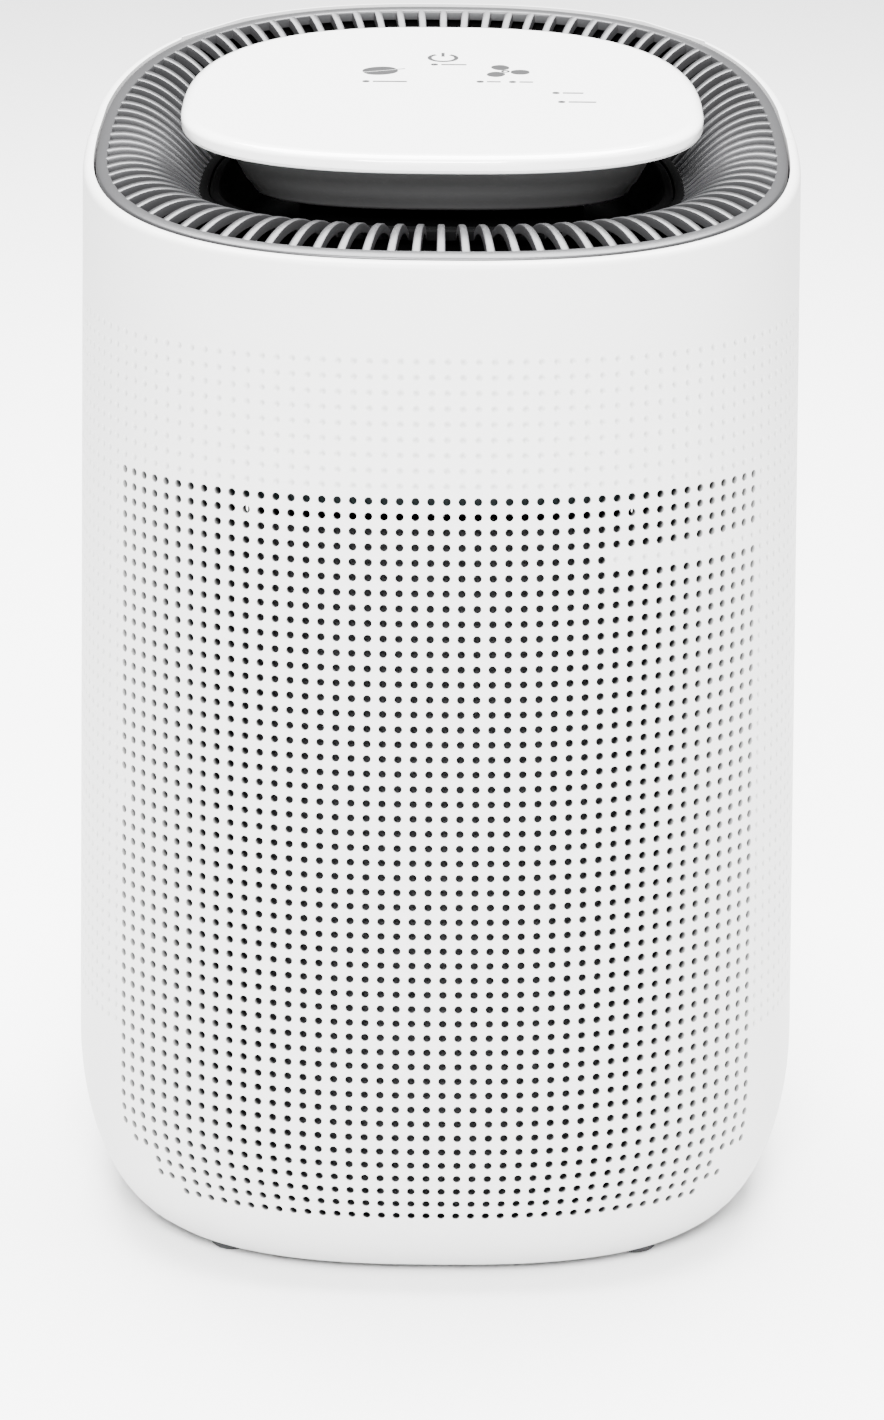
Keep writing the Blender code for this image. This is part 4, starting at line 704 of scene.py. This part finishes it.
def buildPedestal(material):
    top = head["thick"] + casing["gap"]
    foot, wall = head["foot"], head["wall"]
    span = panelTopAt(centreY) - top - foot
    lean = head["footInset"] - head["topInset"]
    # the rounded lower corner: insets and rises
    corner = [(0.0042, 0), (0.0022, 0.0001), (0.0010, 0.0005), (0.0002, 0.0013), (-0.0006, 0.0028)]
    rings = [headRing(head["footInset"] + inset, height=foot + rise) for inset, rise in corner]
    # the side is a ruled surface between a level foot and the sloping top, with a slight flare
    for share in np.linspace(0.25, 1, 6):
        flare = head["footInset"] - lean * (share * 0.85 + 0.15 * share * share)
        low = headRing(flare, height=foot)
        high = headRing(flare, drop=top)
        ring = low.copy()
        ring[:, 2] = foot + (high[:, 2] - foot) * share
        rings.append(ring)
    rings.append(headRing(head["topInset"] + wall, drop=top))
    rings.append(headRing(head["footInset"] + wall, height=foot + wall))
    rings.append(headRing(head["footInset"] + wall + 0.004, height=foot + wall))
    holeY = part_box("control_cable")[1].y - 0.0016
    angle = np.interp(np.arange(head["around"]) / head["around"], tableMark, turn)
    for height in (foot + wall, foot):
        rings.append(np.stack([bowl["hole"] * np.sin(angle), holeY - bowl["hole"] * np.cos(angle),
                               np.full(len(angle), height)], axis=-1))
    verts, faces = loopLoft(np.stack(rings), closed=True)
    print("pedestal height", round(span, 4))
    return finishMesh("head_pedestal", verts, faces, "casing", material, "gunmetal", 40, ["control_pedestal"])


# printed symbols: thin plates of ink that lie on the flat panel
# dots: across, back from the widest line, and the length of the dash beside each
lightMarks = [(-0.0225, 0.0245, 0.0100), (-0.0025, 0.0435, 0.0075), (0.0110, 0.0250, 0.0040),
              (0.0205, 0.0250, 0.0040), (0.0330, 0.0135, 0.0060), (0.0345, 0.0040, 0.0080)]
ink = {
    "thick": 0.00010, "sink": 0.00003, "stroke": 0.00125,
    "power": (0, 0.0510), "powerGap": 32, "leaf": (-0.0235, 0.0345), "leafTilt": 18, "leafRib": 0.00022,
    "hub": (0.0185, 0.0365), "hubOut": 0.0017, "dot": 0.0011, "dashFrom": 0.0020,
}


def inkPlate(outline, hole=None):
    # outline: points across and back on the panel; it becomes a plate along the panel's slope
    outline = np.asarray(outline, float)

    def lift(points, up):
        y = centreY + points[:, 1]
        return np.stack([points[:, 0], y, panelTopAt(y) + up], axis=-1)

    top, under = ink["thick"] - ink["sink"], -ink["sink"]
    if hole is None:
        rings = np.stack([lift(outline, under), lift(outline, top)])
        return loopLoft(rings)
    hole = np.asarray(hole, float)
    rings = np.stack([lift(outline, under), lift(outline, top), lift(hole, top), lift(hole, under)])
    return loopLoft(rings, closed=True)


def circle(x, back, radius, sides=28):
    angle = 2 * np.pi * np.arange(sides) / sides
    return np.stack([x + radius * np.cos(angle), back + radius * np.sin(angle)], axis=-1)


def arcBand(x, back, radius, width, start, end, steps=40):
    # a band round part of a circle, as one outline
    angle = np.radians(np.linspace(start, end, steps))
    spots = [(radius + width / 2, angle), (radius - width / 2, angle[::-1])]
    return np.concatenate([np.stack([x + r * np.cos(a), back + r * np.sin(a)], axis=-1) for r, a in spots])


def direction(degrees):
    return np.array([math.cos(math.radians(degrees)), math.sin(math.radians(degrees))])


def turned(points, x, back, degrees):
    c, s = direction(degrees)
    return points @ np.array([[c, s], [-s, c]]) + [x, back]


def bar(x, back, wide, deep, degrees=0.0):
    corners = np.array([[-1, -1], [1, -1], [1, 1], [-1, 1]]) * [wide / 2, deep / 2]
    return turned(corners, x, back, degrees)


def petal(x, back, length, width, degrees, steps=18):
    # an almond: half widths follow a sine along its length
    t = np.linspace(0, math.pi, steps)
    side = np.stack([(1 - np.cos(t)) / 2 * length, np.sin(t) ** 0.8 * width / 2], axis=-1)
    return turned(np.concatenate([side, (side * [1, -1])[::-1][1:-1]]), x, back, degrees)


def buildSymbols(material):
    parts = []
    # power: an open ring and a bar
    away = ink["powerGap"]
    ring = arcBand(*ink["power"], 0.0040, ink["stroke"], 90 + away, 90 + 360 - away)
    parts.append(inkPlate(ring))
    parts.append(inkPlate(bar(0, 0.0545, 0.0010, 0.0042)))
    # drying: a plain leaf in two halves beside its rib
    tilt = ink["leafTilt"]
    for side in (-1, 1):
        half = petal(*ink["leaf"], 0.0105, 0.0088, tilt)
        along, across = direction(tilt)
        normal = np.array([-across, along])
        away = (half - np.array(ink["leaf"])) @ normal * side
        kept = half + np.outer(np.maximum(ink["leafRib"] - away, 0) * side, normal)
        parts.append(inkPlate(kept))
    parts.append(inkPlate(bar(-0.0125, 0.0382, 0.0028, 0.0005, tilt)))
    # fan: three blades round a ringed hub
    hub = np.array(ink["hub"])
    for number in range(3):
        angle = 95 + 120 * number
        root = hub + ink["hubOut"] * direction(angle)
        parts.append(inkPlate(petal(*root, 0.0056, 0.0052, angle + 24)))
    parts.append(inkPlate(circle(*hub, 0.0013), circle(*hub, 0.0006)))
    # the lights: dots, each with a short plain dash in place of a word
    for x, back, dash in lightMarks:
        parts.append(inkPlate(circle(x, back, ink["dot"])))
        parts.append(inkPlate(bar(x + ink["dashFrom"] + dash / 2, back, dash, ink["dot"])))
    verts, faces = joinParts(parts)
    return finishMesh("panel_symbols", verts, faces, "casing", material, "gloss_panel", 30)


# materials: each is a Principled shader whose colour, roughness and bump come from shared groups
def newGroup(name, inputs, outputs):
    group = bpy.data.node_groups.new(name, "ShaderNodeTree")
    for label, kind, value in inputs:
        socket = group.interface.new_socket(name=label, in_out="INPUT", socket_type=kind)
        if value is not None:
            socket.default_value = value
    for label, kind in outputs:
        group.interface.new_socket(name=label, in_out="OUTPUT", socket_type=kind)
    start = group.nodes.new("NodeGroupInput")
    end = group.nodes.new("NodeGroupOutput")
    place = group.nodes.new("ShaderNodeTexCoord").outputs["Object"]
    return group, group.nodes, group.links, start, end, place


def mathNode(nodes, links, operation, first, second=None):
    node = nodes.new("ShaderNodeMath")
    node.operation = operation
    for socket, value in zip(node.inputs, (first, second)):
        if value is None:
            continue
        if isinstance(value, (int, float)):
            socket.default_value = value
        else:
            links.new(value, socket)
    return node.outputs[0]


def bumpOut(nodes, links, start, end, height, distance):
    # a bump from a height, whose strength is the group's Depth
    bump = nodes.new("ShaderNodeBump")
    bump.inputs["Distance"].default_value = distance
    links.new(start.outputs["Depth"], bump.inputs["Strength"])
    links.new(height, bump.inputs["Height"])
    links.new(bump.outputs["Normal"], end.inputs["Normal"])


def makeGrain():
    # a fine moulded grain: the normal, and a roughness that wanders slightly
    group, nodes, links, start, end, place = newGroup(
        "mouldedGrain",
        [("Scale", "NodeSocketFloat", 1800.0), ("Depth", "NodeSocketFloat", 0.02),
         ("Roughness", "NodeSocketFloat", 0.4), ("Wander", "NodeSocketFloat", 0.05)],
        [("Roughness", "NodeSocketFloat"), ("Normal", "NodeSocketVector")])
    fine = nodes.new("ShaderNodeTexNoise")
    links.new(place, fine.inputs["Vector"])
    links.new(start.outputs["Scale"], fine.inputs["Scale"])
    fine.inputs["Detail"].default_value = 2
    bumpOut(nodes, links, start, end, fine.outputs["Fac"], 0.0001)
    broad = nodes.new("ShaderNodeTexNoise")
    broad.inputs["Scale"].default_value = 28
    links.new(place, broad.inputs["Vector"])
    offset = mathNode(nodes, links, "SUBTRACT", broad.outputs["Fac"], 0.5)
    scaled = mathNode(nodes, links, "MULTIPLY", offset, start.outputs["Wander"])
    links.new(mathNode(nodes, links, "ADD", start.outputs["Roughness"], scaled), end.inputs["Roughness"])
    return group


def makeLines():
    # fine lines across one axis of the object, as brushed metal, wound wire, pleats or traces have
    group, nodes, links, start, end, place = newGroup(
        "fineLines",
        [("Scale", "NodeSocketVector", (1, 1, 1)), ("Depth", "NodeSocketFloat", 0.1)],
        [("Mask", "NodeSocketFloat"), ("Normal", "NodeSocketVector")])
    stretch = nodes.new("ShaderNodeVectorMath")
    stretch.operation = "MULTIPLY"
    links.new(place, stretch.inputs[0])
    links.new(start.outputs["Scale"], stretch.inputs[1])
    noise = nodes.new("ShaderNodeTexNoise")
    noise.inputs["Scale"].default_value = 1
    noise.inputs["Detail"].default_value = 3
    links.new(stretch.outputs[0], noise.inputs["Vector"])
    links.new(noise.outputs["Fac"], end.inputs["Mask"])
    bumpOut(nodes, links, start, end, noise.outputs["Fac"], 0.0002)
    return group


def makeCells():
    # a mask of round cells, for foam, ceramic speckle, carbon cloth and mesh
    group, nodes, links, start, end, place = newGroup(
        "roundCells",
        [("Scale", "NodeSocketFloat", 400.0), ("Depth", "NodeSocketFloat", 0.3)],
        [("Mask", "NodeSocketFloat"), ("Normal", "NodeSocketVector")])
    cells = nodes.new("ShaderNodeTexVoronoi")
    links.new(place, cells.inputs["Vector"])
    links.new(start.outputs["Scale"], cells.inputs["Scale"])
    links.new(cells.outputs["Distance"], end.inputs["Mask"])
    bumpOut(nodes, links, start, end, cells.outputs["Distance"], 0.0004)
    return group


groups = {"grain": makeGrain(), "lines": makeLines(), "cells": makeCells()}

# colour, roughness, metallic, then the group that roughens it with that group's settings
looks = {
    "white_shell": ((0.60, 0.60, 0.597), 0.42, 0, "grain", {"Scale": 2600, "Depth": 0.05}),
    "gloss_panel": ((0.84, 0.84, 0.84), 0.10, 0, "grain", {"Scale": 400, "Depth": 0.0, "Wander": 0.02}),
    "gunmetal": ((0.050, 0.050, 0.052), 0.36, 0.6, "grain", {"Scale": 3000, "Depth": 0.05}),
    # painted light: a lighter copy of gunmetal for the pedestal, which sits in shade under the panel
    "gunmetal_painted_light": ((0.13, 0.13, 0.132), 0.36, 0.35, "lines", {"Scale": (60, 60, 2200), "Depth": 0.04}),
    # painted shade: near black with almost no specular, for the outlet's bowl, inner ring, skirt and the
    # pedestal's neck, which lie in shade
    "painted_shade_black": ((0.0015, 0.0015, 0.0016), 0.9, 0, "grain", {"Scale": 1500, "Depth": 0.05}),
    "black_plastic": ((0.006, 0.012, 0.013), 0.5, 0, "grain", {"Scale": 1500, "Depth": 0.15}),
    "grey_plastic": ((0.27, 0.27, 0.28), 0.48, 0, "grain", {"Scale": 1500, "Depth": 0.1}),
    "cable_jacket": ((0.014, 0.014, 0.015), 0.6, 0, "grain", {"Scale": 2500, "Depth": 0.2}),
    "clear_tank": ((0.52, 0.60, 0.64), 0.16, 0, "grain", {"Scale": 500, "Depth": 0.02}),
    "rubber": ((0.022, 0.022, 0.023), 0.82, 0, "grain", {"Scale": 1800, "Depth": 0.3}),
    "float_foam": ((0.78, 0.77, 0.73), 0.9, 0, "cells", {"Scale": 1500, "Depth": 0.4}),
    "aluminium": ((0.63, 0.64, 0.65), 0.32, 1, "lines", {"Scale": (40, 40, 1400), "Depth": 0.1}),
    "steel": ((0.52, 0.52, 0.53), 0.27, 1, "lines", {"Scale": (900, 900, 200), "Depth": 0.1}),
    "magnet": ((0.55, 0.55, 0.56), 0.18, 1, "grain", {"Scale": 900, "Depth": 0.03}),
    "brass": ((0.62, 0.45, 0.19), 0.33, 1, "lines", {"Scale": (200, 200, 2500), "Depth": 0.15}),
    "copper": ((0.58, 0.25, 0.12), 0.34, 1, "lines", {"Scale": (120, 120, 6000), "Depth": 0.6}),
    "ceramic": ((0.84, 0.83, 0.80), 0.55, 0, "cells", {"Scale": 2500, "Depth": 0.15}),
    "insulation": ((0.07, 0.07, 0.074), 0.95, 0, "cells", {"Scale": 900, "Depth": 0.7}),
    "filter_paper": ((0.82, 0.82, 0.78), 0.92, 0, "lines", {"Scale": (900, 900, 220), "Depth": 0.4}),
    "carbon_cloth": ((0.02, 0.02, 0.022), 0.95, 0, "cells", {"Scale": 700, "Depth": 0.9}),
    "dark_mesh": ((0.012, 0.012, 0.013), 0.8, 0, "cells", {"Scale": 1200, "Depth": 0.8}),
    "board_green": ((0.02, 0.13, 0.05), 0.4, 0, "lines", {"Scale": (350, 350, 900), "Depth": 0.2}),
    "light_guide": ((0.72, 0.76, 0.78), 0.12, 0, "grain", {"Scale": 700, "Depth": 0.02}),
    "panel_ink": ((0.02, 0.02, 0.021), 0.4, 0, "grain", {"Scale": 2500, "Depth": 0.02}),
}
# second colour mixed in by the group's mask: colour, and the mask range over which it fades in
tints = {
    "aluminium": ((0.50, 0.51, 0.52), 0.35, 0.65), "steel": ((0.40, 0.40, 0.41), 0.4, 0.7),
    "brass": ((0.45, 0.31, 0.12), 0.4, 0.7), "copper": ((0.30, 0.11, 0.05), 0.42, 0.58),
    "ceramic": ((0.70, 0.69, 0.66), 0.3, 0.6), "insulation": ((0.03, 0.03, 0.03), 0.2, 0.6),
    "filter_paper": ((0.70, 0.70, 0.65), 0.4, 0.6), "carbon_cloth": ((0.05, 0.05, 0.052), 0.2, 0.6),
    "dark_mesh": ((0.04, 0.04, 0.042), 0.2, 0.5), "board_green": ((0.07, 0.26, 0.10), 0.52, 0.56),
    "float_foam": ((0.62, 0.61, 0.57), 0.25, 0.6),
}

# further sockets that some looks set
extras = {
    "clear_tank": {"Transmission Weight": 0.75, "IOR": 1.45}, "light_guide": {"Transmission Weight": 0.5},
    "gloss_panel": {"Coat Weight": 0.5, "Coat Roughness": 0.04}, "painted_shade_black": {"Specular IOR Level": 0.04},
    "black_plastic": {"Specular IOR Level": 0.2}, "dark_mesh": {"Specular IOR Level": 0.2},
}


def shadeByDepth(nodes, links, shader, colour):
    # painted shade: the colour falls off to near black as (1 - bore) cubed down a drilled hole, and a little
    # in a dimple
    values = {}
    for label in ("bore", "dimpleShade"):
        node = nodes.new("ShaderNodeAttribute")
        node.attribute_name = label
        values[label] = node.outputs["Fac"]
    clear = mathNode(nodes, links, "POWER", mathNode(nodes, links, "SUBTRACT", 1.0, values["bore"]), 3.0)
    flat = mathNode(nodes, links, "SUBTRACT", 1.0, mathNode(nodes, links, "MULTIPLY", values["dimpleShade"], 0.35))
    mix = nodes.new("ShaderNodeMix")
    mix.data_type = "RGBA"
    mix.inputs["A"].default_value = (0.004, 0.004, 0.004, 1)
    mix.inputs["B"].default_value = (*colour, 1)
    links.new(mathNode(nodes, links, "MULTIPLY", clear, flat), mix.inputs["Factor"])
    links.new(mix.outputs["Result"], shader.inputs["Base Color"])


def makeMaterial(name):
    colour, roughness, metallic, kind, settings = looks[name]
    material = bpy.data.materials.new(name)
    material.use_nodes = True
    nodes, links = material.node_tree.nodes, material.node_tree.links
    shader = nodes["Principled BSDF"]
    shader.inputs["Base Color"].default_value = (*colour, 1)
    shader.inputs["Roughness"].default_value = roughness
    shader.inputs["Metallic"].default_value = metallic
    effect = nodes.new("ShaderNodeGroup")
    effect.node_tree = groups[kind]
    for label, value in settings.items():
        effect.inputs[label].default_value = value
    links.new(effect.outputs["Normal"], shader.inputs["Normal"])
    if kind == "grain":
        effect.inputs["Roughness"].default_value = roughness
        links.new(effect.outputs["Roughness"], shader.inputs["Roughness"])
    if name in tints:
        second, low, high = tints[name]
        ramp = nodes.new("ShaderNodeValToRGB")
        ramp.color_ramp.elements[0].position, ramp.color_ramp.elements[1].position = low, high
        ramp.color_ramp.elements[0].color = (*colour, 1)
        ramp.color_ramp.elements[1].color = (*second, 1)
        links.new(effect.outputs["Mask"], ramp.inputs["Fac"])
        links.new(ramp.outputs["Color"], shader.inputs["Base Color"])
    # painted shade in the drilled holes and dimples of the white plastic
    if name == "white_shell":
        shadeByDepth(nodes, links, shader, colour)
    for label, value in extras.get(name, {}).items():
        shader.inputs[label].default_value = value
    return material


materials = {name: makeMaterial(name) for name in looks}

# the pieces
knuckles = buildKnuckles(materials["white_shell"])
buildFrontShell(materials["white_shell"])
buildRearShell(materials["white_shell"])
buildDoor(materials["white_shell"], knuckles)
print("casing built")
# painted shade: the inner ring and the bowl below the ribs take the near-black shade material
buildGrille(materials["gunmetal"], materials["painted_shade_black"])
buildBowl(materials["painted_shade_black"])
buildShadeSkirt(materials["painted_shade_black"])
buildPanel(materials["gloss_panel"])
# painted light: the pedestal takes the lighter copy of gunmetal
buildPedestal(materials["gunmetal_painted_light"])
buildSymbols(materials["panel_ink"])
print("outlet and control head built")

# each carried-over node takes the material of its slot
corners = ["front_left", "front_right", "rear_left", "rear_right"]
slotNodes = {
    "black_plastic": ["base_pan", "fan_housing", "fan_plate", "fan_rotor", "dc_socket", "inner_frame",
                      "pedestal_neck", "reed_switch"],
    "grey_plastic": ["drip_tray", "filter_frame", "tank_lid"],
    "cable_jacket": ["control_cable"],
    "clear_tank": ["water_tank"],
    "rubber": [f"foot_{corner}" for corner in corners] + ["tank_plug"],
    "float_foam": ["float_arm"],
    "aluminium": ["cold_sink", "hot_sink"],
    "steel": [f"base_screw_{corner}" for corner in corners] + [
        "door_pin_lower", "door_pin_upper", "fan_shaft", "float_pin", "sink_screw_lower", "sink_screw_upper"],
    "magnet": ["door_magnet", "float_magnet", "shell_magnet"],
    "brass": ["fan_bearing"],
    "copper": ["fan_stator", "touch_pad_dry", "touch_pad_fan", "touch_pad_power"],
    "ceramic": ["peltier_left", "peltier_right"],
    "insulation": ["insulation_frame"],
    "filter_paper": ["hepa_pleats"],
    "carbon_cloth": ["carbon_sheet"],
    "dark_mesh": ["dust_screen"],
    "board_green": ["control_board", "power_board"],
    "light_guide": [f"light_guide_{number}" for number in range(1, 7)],
}
for slotName, names in slotNodes.items():
    for name in names:
        node = frame["nodes"][name]
        if not node.material_slots:
            node.data.materials.append(None)
        # painted shade: the pedestal's neck, down in the outlet, takes the near-black shade material instead
        # of its slot's
        look = "painted_shade_black" if name == "pedestal_neck" else slotName
        for place in node.material_slots:
            place.material = materials[look]
print("inner pieces painted:", sum(len(names) for names in slotNodes.values()))


# floor, lights and camera
def addLight(name, place, aim, size, power):
    data = bpy.data.lights.new(name, "AREA")
    data.shape, data.size, data.size_y, data.energy = "RECTANGLE", size[0], size[1], power
    light = bpy.data.objects.new(name, data)
    light.location = place
    light.rotation_euler = (Vector(aim) - Vector(place)).to_track_quat("-Z", "Y").to_euler()
    bpy.context.scene.collection.objects.link(light)


def addFloor():
    bm = bmesh.new()
    bmesh.ops.create_grid(bm, x_segments=1, y_segments=1, size=6)
    mesh = bpy.data.meshes.new("floor")
    bm.to_mesh(mesh)
    bm.free()
    floor = bpy.data.objects.new("floor", mesh)
    floor.location.z = -0.0002
    material = bpy.data.materials.new("paleFloor")
    material.use_nodes = True
    shader = material.node_tree.nodes["Principled BSDF"]
    shader.inputs["Base Color"].default_value = (0.93, 0.93, 0.93, 1)
    shader.inputs["Roughness"].default_value = 0.9
    mesh.materials.append(material)
    bpy.context.scene.collection.objects.link(floor)


addFloor()
world = bpy.data.worlds.new("studio")
world.use_nodes = True
world.node_tree.nodes["Background"].inputs["Color"].default_value = (1, 1, 1, 1)
world.node_tree.nodes["Background"].inputs["Strength"].default_value = 0.6
bpy.context.scene.world = world
middle = (0, 0, 0.17)
addLight("keyLight", (-0.10, -2.0, 1.6), middle, (0.9, 0.9), 200)
addLight("topLight", (0, 0.3, 2.0), middle, (1.6, 1.4), 330)
addLight("frontFill", (0.1, -2.2, 0.15), middle, (0.9, 0.6), 40)

cameraData = bpy.data.cameras.new("camera")
cameraData.lens, cameraData.sensor_width = 125.6, 36
cameraData.dof.use_dof = False
camera = bpy.data.objects.new("camera", cameraData)
camera.location = (0.0013, -1.4309, 0.6264)
# pitched down, then turned slightly about its own line of sight
pitch, roll = math.radians(71.3), math.radians(0.47)
camera.rotation_euler = (Matrix.Rotation(pitch, 3, "X") @ Matrix.Rotation(roll, 3, "Z")).to_euler()
bpy.context.scene.collection.objects.link(camera)
bpy.context.scene.camera = camera
